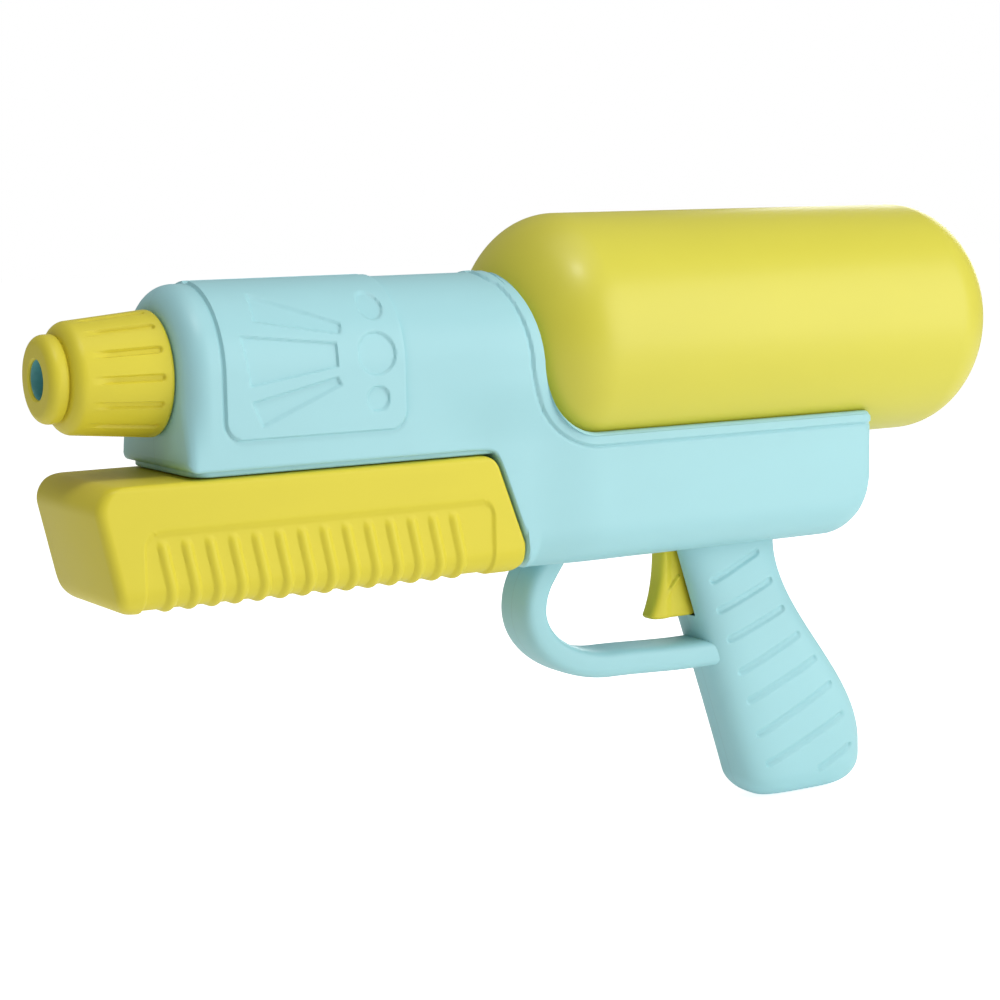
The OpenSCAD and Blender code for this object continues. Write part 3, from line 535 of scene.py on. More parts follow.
class Shader(NodeTree):
    """One material's node tree, with short ways to make its values."""

    def __init__(self, name: str) -> None:
        """Starts a material that holds one Principled shader.

        Args:
            name: Name of the material.
        """
        self.material = bpy.data.materials.new(name)
        super().__init__(self.material)
        self.surface = self.tree.nodes["Principled BSDF"]
        self.place = self.node("ShaderNodeTexCoord").outputs["Object"]

    def maths(self, operation: str, *operands: Union[Value, Number]) -> Value:
        """Adds a Math node.

        Args:
            operation: Name of its operation.
            operands: Values in the order of its sockets.

        Returns:
            The node's result.
        """
        places = {f"i{index}": operand for index, operand in enumerate(operands)}
        return Value(self, self.node("ShaderNodeMath", {"operation": operation}, **places).outputs[0])

    def axis(self, letter: str) -> Value:
        """One coordinate of the piece's own frame, in metres."""
        return Value(self, self.node("ShaderNodeSeparateXYZ", Vector=self.place).outputs[letter])

    def noise(self, size: float, detail: float = 2.0, stretch: Triple = (1.0, 1.0, 1.0)) -> Value:
        """Cloudy noise between 0 and 1.

        Args:
            size: Size of one cloud in millimetres.
            detail: Octaves of finer noise.
            stretch: Squeeze of the pattern along each axis.

        Returns:
            The noise value.
        """
        where = self.node("ShaderNodeMapping", Vector=self.place, Scale=stretch).outputs[0]
        made = self.node("ShaderNodeTexNoise", Vector=where, Scale=1.0 / (size * MM), Detail=detail)
        return Value(self, made.outputs["Fac"])

    def band(self, value: Value, low: float, high: float) -> Value:
        """Smooth rise from 0 at low to 1 at high.

        Args:
            value: Value to place on the rise.
            low: Value where it starts.
            high: Value where it ends.

        Returns:
            The height of the rise.
        """
        settings = {"interpolation_type": "SMOOTHSTEP", "clamp": True}
        made = self.node("ShaderNodeMapRange", settings, Value=value, From_Min=low, From_Max=high)
        return Value(self, made.outputs["Result"])

    def mix(self, share: Value, first: Any, second: Any) -> bpy.types.NodeSocket:
        """Mixes two colours.

        Args:
            share: Share of the second colour.
            first: Colour at 0.
            second: Colour at 1.

        Returns:
            The mixed colour.
        """
        made = self.node("ShaderNodeMix", {"data_type": "RGBA"}, i0=share, i6=first, i7=second)
        return made.outputs[2]

    def bump(self, height: Value) -> None:
        """Feeds the shader's normal with a height pattern in millimetres."""
        made = self.node("ShaderNodeBump", Height=height, Distance=MM, Strength=1.0)
        self.set(Normal=made.outputs["Normal"])

    def set(self, **inputs: Any) -> None:
        """Fills sockets of the Principled shader, by name with _ for a space."""
        for key, value in inputs.items():
            self.feed(self.surface.inputs[key.replace("_", " ")], value)


def tint(colour: Triple, factor: float) -> tuple[float, float, float, float]:
    """A colour made lighter or darker, with full alpha."""
    return (colour[0] * factor, colour[1] * factor, colour[2] * factor, 1.0)


@dataclass(frozen=True)
class MouldedPlastic:
    """Coloured moulded plastic: faint colour drift, a fine mould grain and, if asked, a parting line."""

    name: str
    colour: Triple
    roughness: float
    drift: float = 0.035
    cloud: float = 38.0
    cloud_octaves: float = 3.0
    flow: float = 9.0
    flow_stretch: Triple = (0.25, 1.0, 1.0)
    flow_share: float = 0.3
    flow_depth: float = 0.004
    grain: float = 0.35
    grain_depth: float = 0.012
    dulling: float = 0.05
    index: float = 1.49
    gloss: float = 0.5
    coat: float = 0.0
    coat_roughness: float = 0.18
    parting: bool = False
    parting_half: float = 0.22
    parting_soft: float = 0.6
    parting_share: float = 0.14
    parting_shade: float = 0.45
    parting_depth: float = 0.05

    def material(self) -> bpy.types.Material:
        """Builds the material: noise shifts the colour and roughness, and grain and line feed one bump.

        Returns:
            The new material.
        """
        shader = Shader(self.name)
        cloud = shader.noise(self.cloud, self.cloud_octaves)
        fine = shader.noise(self.grain)
        flow = shader.noise(self.flow, stretch=self.flow_stretch)
        share = cloud * (1.0 - self.flow_share) + flow * self.flow_share
        colour = shader.mix(share, tint(self.colour, 1.0 - self.drift), tint(self.colour, 1.0 + self.drift))
        height = fine * self.grain_depth + flow * self.flow_depth
        if self.parting:
            edge = self.parting_half * MM
            near, far = edge * (1.0 - self.parting_soft), edge * (1.0 + self.parting_soft)
            line = 1.0 - shader.band(abs(shader.axis("Y")), near, far)
            colour = shader.mix(line * self.parting_share, colour, tint(self.colour, self.parting_shade))
            height = height - line * self.parting_depth
        shader.set(
            Base_Color=colour,
            Roughness=self.roughness - self.dulling + flow * self.dulling + fine * self.dulling,
            IOR=self.index,
            Specular_IOR_Level=self.gloss,
            Coat_Weight=self.coat,
            Coat_Roughness=self.coat_roughness,
        )
        shader.bump(height)
        return shader.material


@dataclass(frozen=True)
class FineSkin:
    """A finish of soft patches and fine marks: dusty rubber, turned steel or milky tubing."""

    name: str
    colour: Triple
    roughness: float
    patch: float
    octaves: float
    tones: Span
    patch_dulling: float
    mark: float
    mark_depth: float
    mark_dulling: float = 0.0
    mark_stretch: Triple = (1.0, 1.0, 1.0)
    metal: float = 0.0

    def material(self) -> bpy.types.Material:
        """Builds the material: patches shift the colour, both dull it, and the marks feed the bump.

        Returns:
            The new material.
        """
        shader = Shader(self.name)
        patches = shader.noise(self.patch, self.octaves)
        marks = shader.noise(self.mark, stretch=self.mark_stretch)
        dark, light = self.tones
        shader.set(
            Base_Color=shader.mix(patches, tint(self.colour, dark), tint(self.colour, light)),
            Metallic=self.metal,
            Roughness=self.roughness + marks * self.mark_dulling + patches * self.patch_dulling,
        )
        shader.bump(marks * self.mark_depth)
        return shader.material


@dataclass(frozen=True)
class StudioPaper:
    """Plain pale studio floor, with a glow that the camera sees more of than the part does."""

    name: str
    colour: Triple
    glow: float = 0.85
    bounce: float = 0.28
    cloud: float = 300.0
    drift: float = 0.01
    roughness: float = 0.85
    dulling: float = 0.1

    def material(self) -> bpy.types.Material:
        """Builds the material: broad clouds barely shift the tone, and the light path sets the glow.

        Returns:
            The new material.
        """
        shader = Shader(self.name)
        tone = shader.noise(self.cloud)
        seen = Value(shader, shader.node("ShaderNodeLightPath").outputs["Is Camera Ray"])
        plain = tint(self.colour, 1.0)
        shader.set(
            Base_Color=shader.mix(tone, tint(self.colour, 1.0 - self.drift), plain),
            Roughness=self.roughness + tone * self.dulling,
            Emission_Color=shader.mix(seen, tint(self.colour, self.bounce), plain),
            Emission_Strength=self.glow,
        )
        return shader.material


class Slot(Enum):
    """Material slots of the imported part."""

    BODY = "body_aqua"
    MOULDED = "moulded_yellow"
    TANK = "tank_yellow"
    INSERT = "insert_teal"
    INNER_WHITE = "inner_white"
    INNER_GREY = "inner_grey"
    HOSE = "hose_clear"
    SEAL = "seal_rubber"
    SCREW = "screw_steel"


class Palette:
    """All finishes of the part, made once and looked up by slot."""

    FINISHES: dict[Slot, Union[MouldedPlastic, FineSkin]] = {
        Slot.BODY: MouldedPlastic("aqua_shell", (0.345, 0.63, 0.67), 0.42, gloss=0.42, parting=True),
        Slot.MOULDED: MouldedPlastic("yellow_moulding", (0.69, 0.595, 0.045), 0.42, gloss=0.3),
        Slot.TANK: MouldedPlastic("yellow_tank", (0.635, 0.585, 0.055), 0.42, grain_depth=0.006, coat=0.08),
        Slot.INSERT: MouldedPlastic("teal_insert", (0.14, 0.43, 0.44), 0.38),
        Slot.INNER_WHITE: MouldedPlastic("natural_white", (0.8, 0.81, 0.79), 0.45),
        Slot.INNER_GREY: MouldedPlastic("inner_grey", (0.27, 0.29, 0.3), 0.45),
        Slot.HOSE: FineSkin(
            "milky_tubing", (0.72, 0.76, 0.76), 0.28,
            patch=6.0, octaves=3.0, tones=(0.9, 1.03), patch_dulling=0.12, mark=0.8, mark_depth=0.02,
        ),
        Slot.SEAL: FineSkin(
            "seal_rubber", (0.022, 0.024, 0.026), 0.7,
            patch=4.0, octaves=4.0, tones=(0.8, 1.6), patch_dulling=0.2, mark=0.3, mark_depth=0.02,
        ),
        Slot.SCREW: FineSkin(
            "plated_steel", (0.56, 0.58, 0.6), 0.22,
            patch=3.0, octaves=3.0, tones=(0.85, 1.05), patch_dulling=0.08, mark=0.25, mark_depth=0.006,
            mark_dulling=0.16, mark_stretch=(6.0, 0.6, 1.0), metal=1.0,
        ),
    }

    def __init__(self) -> None:
        """Builds every material."""
        self.materials = {slot: finish.material() for slot, finish in self.FINISHES.items()}

    def dress(self, piece: bpy.types.Object, slot: Slot) -> None:
        """Gives a piece the finish of a slot in place of what it had.

        Args:
            piece: Piece to dress.
            slot: Slot whose finish it gets.
        """
        if piece.material_slots:
            for place in piece.material_slots:
                place.link = "OBJECT"
                place.material = self.materials[slot]
        else:
            piece.data.materials.append(self.materials[slot])


# Sub-assemblies


class Assembly:
    """What all sub-assemblies share: adding a finished piece to the part."""

    def add(
        self, piece: bpy.types.Object, palette: Palette, slot: Slot, body: str, nodes: Sequence[str] = ()
    ) -> None:
        """Dresses a piece, sets it on its body and lets it stand for CAD nodes.

        Args:
            piece: Finished piece.
            palette: Finishes of the part.
            slot: Material slot of the piece.
            body: Body that it moves with.
            nodes: CAD nodes that it stands for.
        """
        palette.dress(piece, slot)
        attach(piece, body)
        if nodes:
            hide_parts(*nodes)
        LOG.info("%s: %d faces on %s", piece.name, len(piece.data.polygons), body)


@dataclass
class TankShape:
    """Sizes of the tank and its screw neck."""

    radius: float = 43.47
    height: float = 4.8
    shoulder: float = 195.5
    front_dome: float = 32.0
    end: float = 380.0
    rear_dome: float = 31.0
    wall: float = 1.8
    neck_r: float = 11.0
    neck_bore: float = 9.0
    neck_front: float = 143.0
    turns: int = 160

    def outside(self, grow: float, neck_r: float) -> Array:
        """Outer profile from the neck to the rear end on the axis: two quarter ellipses and a straight wall.

        Args:
            grow: How far the profile is grown.
            neck_r: Radius of the neck before it is grown.

        Returns:
            Radius and setback of each point.
        """
        dome = np.linspace(math.asin(neck_r / self.radius), QUARTER, 40)
        tail = np.linspace(0.0, QUARTER, 40)
        r = self.radius + grow
        front = stacked(r * np.sin(dome), self.shoulder - (self.front_dome + grow) * np.cos(dome))
        tail_s = self.end - self.rear_dome + (self.rear_dome + grow) * np.sin(tail)
        neck = np.array([[neck_r + grow, self.neck_front - grow]])
        return np.concatenate([neck, front, stacked(r * np.cos(tail), tail_s)])

    def turned(self, profile: Array) -> Surface:
        """A profile that starts and ends on the axis, turned about the tank's axis."""
        return spin(profile, self.height, self.turns, closed=False)

    def room(self, gap: float) -> Surface:
        """Space that the tank takes with a clearance all round, as a closed surface."""
        return self.turned(np.concatenate([[[0.0, self.neck_front - gap]], self.outside(gap, self.neck_r)]))


@dataclass
class BodyShell(Assembly):
    """The two half shells' main form: barrel, collar and rear body."""

    # Tank with the room left round it, and the least height of an edge that would shrink to nothing
    tank: TankShape = field(default_factory=TankShape)
    tank_gap: float = 0.5
    sliver: float = 0.02

    # Barrel and collar
    face: float = 39.5
    barrel_r: float = 28.5
    barrel_low: float = -30.6
    front_round: float = 8.5
    foot_round: float = 3.0
    edge_round: float = 1.2
    flare_start: float = 112.0
    collar: float = 170.0
    collar_front: float = 163.6
    collar_half: float = 32.3
    collar_top: float = 28.5
    collar_ease: float = 36.0

    # Rear body, from the sweep behind the collar to the rear end
    sweep_end: float = 193.0
    lip: float = -27.5
    lip_roll: float = 1.3
    rear_half: float = 31.8
    rear_end: float = 317.0
    rear_plan_round: float = 6.0
    rear_lip_round: float = 5.0
    low: float = -74.3
    corner: float = 17.0

    # Slanted step behind the handle, the tuck over it and the round belly below it
    step_top: float = 153.4
    step_foot: float = 165.0
    step_short: float = 10.0
    step_round: float = 5.0
    step_foot_round: float = 4.0
    tuck: float = 3.2
    tuck_start: Span = (118.0, 150.0)
    tuck_end: Span = (166.0, 195.0)
    tuck_heights: Span = (-30.0, -6.0)
    belly_start: float = 3.0
    belly_full: float = 5.0
    belly_wide: float = 11.8
    belly_high: float = 12.8

    # Raised side panel with its carving, and the band along the tank's edge
    panel: Span = (52.3, 117.6)
    panel_low: float = -21.1
    panel_round: float = 6.0
    panel_rise: float = 0.95
    panel_soft: float = 0.35
    panel_groove: float = 0.25
    panel_groove_out: float = 0.5
    panel_groove_half: float = 0.4
    carving: float = 0.85
    carving_soft: float = 0.3
    band_width: float = 4.4
    band_rise: float = 0.6
    band_edge: Span = (0.4, 0.3)
    band_groove: float = 0.4
    band_groove_out: float = 0.6
    band_groove_half: float = 0.5

    # Spacing of the points up the side and over the arch
    side_crowding: float = 1.6
    arch_crowding: float = 0.25

    # Corners of the fan's blades, and places and radii of the discs, as setbacks and heights
    FAN = (
        ((66.5, 24.0), (95.5, 14.2), (94.8, 11.0), (65.0, 16.0)),
        ((59.0, 11.7), (92.4, 8.2), (92.5, 0.7), (61.1, -4.0)),
        ((61.6, -9.2), (92.1, -2.6), (93.5, -5.3), (64.9, -17.1)),
    )
    DISCS = ((108.4, 19.2, 4.3), (107.1, 4.1, 6.9), (107.1, -10.6, 4.1))

    # Openings: screw wells, round bores as radius and two setbacks, and the heights of the slots
    SCREWS = ((56.0, 17.0), (128.0, 17.0), (100.0, -19.0), (300.0, -55.0))
    SCREW_REACH = (-45.0, SCREW_WELL_END)
    PUMP_BORE = ((5.0, 148.0, 170.0), (12.4, 170.0, 235.0))
    SPOUT_BORE = ((12.1, 30.0, 46.0),)
    RAIL_SLOT_HEIGHTS = (-36.0, -29.2)
    TEE_HALF = 10.0
    TEE_HEIGHTS = (-29.3, -25.4)
    TRIGGER_SLOT_HEIGHTS = (-90.0, -58.0)

    def half_width(self, s: Array) -> Array:
        """Half width in plan: the barrel's, swelling to the collar and easing back to the rear body's.

        Args:
            s: Setbacks of the sections.

        Returns:
            Half width of each section, drawn in at the round front and rear.
        """
        eased = self.collar + self.collar_ease
        swell = (self.collar_half - self.barrel_r) * smoothstep(self.flare_start, self.collar, s)
        ease = (self.collar_half - self.rear_half) * smoothstep(self.collar, eased, s)
        ends = fillet(s - self.face, self.front_round) + fillet(self.rear_end - s, self.rear_plan_round)
        return self.barrel_r + swell - ease - ends

    def arch(self, s: Array) -> Array:
        """Height of the round top over the nozzle axis: the barrel's, rising smoothly to the collar's.

        Args:
            s: Setbacks of the sections.

        Returns:
            Height of each section's arch.
        """
        rise = (self.collar_top - self.barrel_r) * smoothstep(self.flare_start, self.collar_front, s)
        return self.barrel_r + rise - fillet(s - self.face, self.front_round)

    def top(self, s: Array) -> Array:
        """Upper edge in side view: the arch, a parabola down the collar, a quarter ellipse, then the lip.

        Args:
            s: Setbacks of the sections.

        Returns:
            Height of each section's upper edge.
        """
        t = np.clip((s - self.collar_front) / (self.collar - self.collar_front), 0.0, 1.0)
        fall = self.collar_top * (1.0 - t * t)
        u = np.clip((self.sweep_end - s) / (self.sweep_end - self.collar), 0.0, 1.0)
        sweep = self.lip * np.sqrt(1.0 - u * u)
        edge = np.where(s < self.collar, np.minimum(fall, self.arch(s) - self.sliver), sweep)
        return edge - fillet(self.rear_end - s, self.rear_lip_round)

    def bottom(self, s: Array) -> Array:
        """Lower edge in side view: the barrel's underside, the slanted step and the rear body.

        A hyperbola joins the underside to the slant, and the rear body ends in a round corner.

        Args:
            s: Setbacks of the sections.

        Returns:
            Height of each section's lower edge.
        """
        slope = (self.barrel_low - self.low - self.step_short) / (self.step_foot - self.step_top)
        fall = (s - self.step_top) * slope
        step = self.barrel_low - (fall + np.sqrt(fall * fall + self.step_round**2)) / 2
        foot = self.low + fillet(s - self.step_foot, self.step_foot_round)
        floor = np.where(s < self.step_foot, step, foot)
        return floor + fillet(self.rear_end - s, self.corner) + fillet(s - self.face, self.foot_round)

    def lip_line(self) -> Array:
        """The edge that meets the tank, in side view: the parabola, the quarter ellipse and the straight lip.

        Returns:
            Setback and height of each point, from the collar's top to the rear end.
        """
        fall, turn = steps(24), steps(32, QUARTER)
        run = np.linspace(self.sweep_end, self.rear_end, 6)
        collar_s = self.collar_front + (self.collar - self.collar_front) * fall
        collar = stacked(collar_s, self.collar_top * (1.0 - fall * fall))
        sweep_s = self.sweep_end - (self.sweep_end - self.collar) * np.cos(turn)
        sweep = stacked(sweep_s, self.lip * np.sin(turn))
        return np.concatenate([collar, sweep, stacked(run, self.lip)])

    def relief(self, s: Array, z: Array) -> Array:
        """Height of the raised panel, its carved fan and discs, and the band along the tank's edge.

        Each form is a smooth step of its signed distance in side view, and each groove is a bell.

        Args:
            s: Setbacks of the points.
            z: Heights of the points.

        Returns:
            How far each point stands out from the plain form.
        """
        panel = panel_distance(s, self.panel_low - z, self.panel, self.panel_round)
        height = self.panel_rise * within(panel, self.panel_soft)
        height = height - self.panel_groove * dent(panel - self.panel_groove_out, self.panel_groove_half)
        carved = [polygon_distance(s, z, corners) for corners in self.FAN]
        carved += [np.hypot(s - disc_s, z - disc_z) - radius for disc_s, disc_z, radius in self.DISCS]
        for form in carved:
            height = height - self.carving * within(form, self.carving_soft)
        past = line_distance(s, z, self.lip_line()) - self.band_width
        band = self.band_rise * (1.0 - smoothstep(-self.band_edge[0], self.band_edge[1], past))
        groove = self.band_groove * dent(past - self.band_groove_out, self.band_groove_half)
        return height + band - groove

    def section(self, s: Array) -> tuple[Array, Array]:
        """Left half of each section, from the bottom middle up to the top middle.

        It is a flat floor, a quarter-ellipse corner, a side that draws in towards the tuck, an elliptic arch
        cut off at the top edge, a rolled lip and a flat lid. The relief moves the side and the arch along
        their normal.

        Args:
            s: Setbacks of the sections, as a column.

        Returns:
            Sideways and upward places of the points, one row for each section.
        """
        half, arch, low, high = self.half_width(s), self.arch(s), self.bottom(s), self.top(s)
        tuck = self.tuck * smoothstep(*self.tuck_start, s) * (1.0 - smoothstep(*self.tuck_end, s))
        behind = s - self.face
        tucked = half - tuck + fillet(behind, self.front_round) - fillet(behind, self.foot_round)
        belly = smoothstep(self.step_foot - self.belly_start, self.step_foot + self.belly_full, s)
        corner_w = self.edge_round + self.belly_wide * belly
        corner_h = self.edge_round + self.belly_high * belly
        roll = np.where(s < self.collar_front, self.sliver, self.lip_roll)
        floor, turn, over = steps(5), steps(12, QUARTER), steps(76)
        curl = turn[::3]
        rise = 1.0 - (1.0 - steps(60)) ** self.side_crowding
        over = over * (1.0 - self.arch_crowding) + over * over * self.arch_crowding
        lid = np.linspace(0.0, 1.0, 5)
        eaves = high - roll
        crown = np.arcsin(np.clip(eaves / arch, 0.0, 1.0))
        side_low, side_high = low + corner_h, np.minimum(eaves, 0.0)
        side_z = side_low + (side_high - side_low) * rise
        edge = half * np.cos(crown)
        sideways = np.concatenate(
            [
                floor * (tucked - corner_w),
                tucked - corner_w + corner_w * np.sin(turn),
                tucked + (half - tucked) * smoothstep(*self.tuck_heights, side_z),
                half * np.cos(over * crown),
                edge - roll * (1.0 - np.cos(curl)),
                (edge - roll) * (1.0 - lid),
            ],
            axis=1,
        )
        upward = np.concatenate(
            [
                low + 0.0 * floor,
                side_low - corner_h * np.cos(turn),
                side_z,
                np.where(eaves > 0.0, arch * np.sin(over * crown), side_high + 0.0 * over),
                eaves + roll * np.sin(curl),
                high + 0.0 * lid,
            ],
            axis=1,
        )
        side = slice(len(floor) + len(turn), len(floor) + len(turn) + len(rise) + len(over))
        height = self.relief(s, upward[:, side])
        lean = np.where(upward[:, side] > 0.0, upward[:, side] / arch**2, 0.0)
        out = np.where(upward[:, side] > 0.0, sideways[:, side] / half**2, 1.0)
        length = np.hypot(lean, out)
        sideways[:, side] += height * out / length
        upward[:, side] += height * lean / length
        return sideways, upward

    def surface(self) -> Surface:
        """Sections carried along X and mirrored about the middle plane.

        They stand closest at the ends, at the panel's edges and round its carving, and are spaced by angle
        down the sweep.

        Returns:
            The closed surface.
        """
        barrel = ((40.5, 6), (51.0, 14), (55.0, 18), (94.0, 66), (119.0, 46), (148.0, 12))
        ahead = stations(self.face, *barrel, (self.collar, 40))
        turn = np.linspace(0.0, QUARTER, 42)[1:-1]
        sweep = self.sweep_end - (self.sweep_end - self.collar) * np.cos(turn)
        behind = stations(self.sweep_end, (298.0, 18), (311.0, 12), (316.6, 10), (self.rear_end, 4))
        s = np.concatenate([ahead, sweep, behind])[:, None]
        return loft_halves(stacked(-s, *self.section(s)))

    def build(self, palette: Palette) -> None:
        """Builds the main form, opens what the other pieces need, and dresses it.

        Args:
            palette: Finishes of the part.
        """
        body = make_object("body_shell", self.surface())
        tools = [
            self.tank.room(self.tank_gap),
            bore(PUMP_HEIGHT, 64, self.PUMP_BORE),
            block(RAIL_SLOT, RAIL_SLOT_HALF, self.RAIL_SLOT_HEIGHTS),
            block(RAIL_SLOT, self.TEE_HALF, self.TEE_HEIGHTS),
            block(TRIGGER_SLOT, TRIGGER_SLOT_HALF, self.TRIGGER_SLOT_HEIGHTS),
            bore(0.0, 64, self.SPOUT_BORE),
        ]
        tools += [cross_hole(s, z, self.SCREW_REACH, SCREW_WELL_R) for s, z in self.SCREWS]
        carve(body, tools)
        self.add(body, palette, Slot.BODY, "body", SHELLS)


@dataclass
class SlideRail(Assembly):
    """The rail under the barrel that the pump handle slides on."""

    half: float = 26.0
    front: float = 41.6
    rear: float = 158.0
    corner: float = 6.0
    slot_heights: Span = (-36.0, -28.0)

    # Height and inset of each ring, down to the rounded lower edge
    EDGE = ((-30.0, 0.0), (-31.7, 0.0), (-32.0, 0.1), (-32.3, 0.3), (-32.5, 0.8))

    def surface(self) -> Surface:
        """A plan with two round front corners, carried downwards and drawn in at its lower edge.

        Returns:
            The closed surface.
        """
        turn = np.linspace(0.0, QUARTER, 12)
        bend = stacked(
            self.front + self.corner - self.corner * np.cos(turn),
            self.half - self.corner + self.corner * np.sin(turn),
        )
        side = np.concatenate([bend, [[self.rear, self.half]]])
        plan = np.concatenate([side, side[::-1] * [1.0, -1.0]])
        height, inset = np.array(self.EDGE).T[:, :, None]
        scale = 1.0 - inset / self.half
        middle = (self.front + self.rear) / 2
        return loft(stacked(-(middle + (plan[:, 0] - middle) * scale), plan[:, 1] * scale, height))

    def build(self, palette: Palette) -> None:
        """Builds the rail, cuts its slot and dresses it.

        Args:
            palette: Finishes of the part.
        """
        rail = make_object("slide_rail", self.surface())
        carve(rail, [block(RAIL_SLOT, RAIL_SLOT_HALF, self.slot_heights)])
        self.add(rail, palette, Slot.BODY, "body", SHELLS)


@dataclass
class TriggerGuard(Assembly):
    """The trigger guard, one rounded bar bent in the middle plane."""

    half: float = 10.0
    thick: float = 5.2
    squareness: float = 0.5
    root: float = 266.0
    sag: float = 1.2
    sag_span: Span = (212.0, 250.0)
    centre: Span = (202.4, -93.1)
    bend: float = 22.5
    stretch: float = 11.0
    arm: float = 12.5
    lean: float = math.radians(35.0)

    def path(self) -> Array:
        """The bar's middle line: a sagging floor, an arc stretched below its centre and a leaning arm.

        Returns:
            Setback and height of each point, from the grip to the body.
        """
        centre_s, centre_z = self.centre
        floor_s = np.linspace(self.root, centre_s + self.stretch, 20, endpoint=False)
        floor_z = centre_z - self.bend - self.sag * smoothstep(*self.sag_span, floor_s)
        angle = np.linspace(-QUARTER, self.lean, 40)
        stretch = np.where(angle < 0.0, self.stretch, 0.0)
        arc_s = centre_s + stretch - (self.bend + stretch) * np.cos(angle)
        arc = stacked(arc_s, centre_z + self.bend * np.sin(angle))
        arm = np.linspace(0.0, self.arm, 8)[1:, None] * [math.sin(self.lean), math.cos(self.lean)]
        return np.concatenate([stacked(floor_s, floor_z), arc, arc[-1] + arm])

    def surface(self) -> Surface:
        """A superellipse carried along the path, with its thickness square to the path.

        Returns:
            The closed surface.
        """
        path = self.path()
        along = np.gradient(path, axis=0)
        along /= np.linalg.norm(along, axis=1, keepdims=True)
        side = stacked(along[:, 1], -along[:, 0])
        bar = superellipse(40, self.half, self.thick, self.squareness) * [self.half, self.thick]
        place = path[:, None, :] + bar[None, :, 1:] * side[:, None, :]
        return loft(stacked(-place[..., 0], bar[None, :, 0], place[..., 1]))

    def build(self, palette: Palette) -> None:
        """Builds the guard and dresses it."""
        guard = make_object("trigger_guard", self.surface())
        self.add(guard, palette, Slot.BODY, "body", SHELLS)


@dataclass
class Grip(Assembly):
    """The hand grip, with slanting finger grooves on both sides."""

    half: float = 14.0
    top: float = 69.0
    butt: float = 176.15
    butt_round: float = 10.0
    heel_round: float = 12.5
    front: float = 242.7
    front_drop: float = 74.3
    rake: float = 0.32
    back: float = 287.4
    swell: float = 42.0
    swell_drops: Span = (76.0, 159.0)
    squareness: float = 0.6
    spacing_half: float = 24.0
    groove: float = 1.0
    groove_edge: Span = (0.75, 1.6)
    flank: float = 0.75

    # Ends of each groove's middle line, as setbacks and heights
    GROOVES = (
        ((255.1, -88.4), (274.2, -79.6)),
        ((258.2, -100.0), (280.8, -91.0)),
        ((262.8, -111.5), (286.5, -102.3)),
        ((267.9, -124.4), (294.2, -113.2)),
        ((272.0, -136.0), (302.4, -123.5)),
        ((276.3, -149.7), (309.8, -134.5)),
        ((280.5, -161.6), (315.7, -147.2)),
        ((304.3, -166.6), (319.8, -160.0)),
    )

    # Openings: screw wells, the valve's bore, and the trigger's slot with the deeper pocket behind its tip
    SCREWS = ((283.0, -122.0), (300.0, -158.0))
    SCREW_REACH = (-20.0, SCREW_WELL_END)
    VALVE_BORE = ((7.3, 262.0, 285.0),)
    TRIGGER_SLOT_HEIGHTS = (-94.0, -58.0)
    TIP_POCKET = (236.0, 267.0)
    TIP_POCKET_HEIGHTS = (-102.6, -93.6)

    def surface(self) -> Surface:
        """Superellipse sections stacked down the grip, closer where the butt rounds.

        The front is a straight line, the back rises smoothly, the butt is round, and a groove is a smooth
        step of the distance to its middle line.

        Returns:
            The closed surface.
        """
        drop = stations(self.top, (163.0, 150), (175.0, 24), (self.butt, 14))[:, None]
        inset = fillet(self.butt - drop, self.butt_round)
        heel = fillet(self.butt - drop, self.heel_round)
        front = self.front + self.rake * (drop - self.front_drop) + inset
        back = self.back + self.swell * smoothstep(*self.swell_drops, drop) - heel
        unit = superellipse(220, self.spacing_half, self.half, self.squareness)
        s = (front + back) / 2 + (back - front) / 2 * unit[:, 0]
        y = (self.half - inset) * unit[:, 1]
        carved = np.zeros_like(y)
        for ends in self.GROOVES:
            near = line_distance(s, -drop + 0.0 * s, np.array(ends))
            carved = np.maximum(carved, 1.0 - smoothstep(*self.groove_edge, near))
        y = y - np.sign(y) * self.groove * carved * (np.abs(unit[:, 1]) > self.flank)
        return loft(stacked(-s, y, -drop))

    def build(self, palette: Palette) -> None:
        """Builds the grip, opens the trigger slot, the valve's place and the screw wells, and dresses it.

        Args:
            palette: Finishes of the part.
        """
        grip = make_object("hand_grip", self.surface())
        tools = [
            block(TRIGGER_SLOT, TRIGGER_SLOT_HALF, self.TRIGGER_SLOT_HEIGHTS),
            block(self.TIP_POCKET, TRIGGER_SLOT_HALF, self.TIP_POCKET_HEIGHTS),
            bore(VALVE_HEIGHT, 48, self.VALVE_BORE),
        ]
        tools += [cross_hole(s, z, self.SCREW_REACH, SCREW_WELL_R) for s, z in self.SCREWS]
        carve(grip, tools)
        self.add(grip, palette, Slot.BODY, "body", SHELLS)


@dataclass
class Tank(Assembly):
    """The screw-on tank, blown hollow."""

    shape: TankShape = field(default_factory=TankShape)

    def build(self, palette: Palette) -> None:
        """Builds the tank: an outer profile from neck to tail, and an inner one back, turned about its axis.

        Args:
            palette: Finishes of the part.
        """
        shape = self.shape
        outer = shape.outside(0.0, shape.neck_r)
        inner = shape.outside(-shape.wall, shape.neck_bore + shape.wall)
        inner[0] = (shape.neck_bore, shape.neck_front)
        tank = make_object("tank", shape.turned(np.concatenate([inner[::-1], outer])))
        self.add(tank, palette, Slot.TANK, "tank", ("tank",))


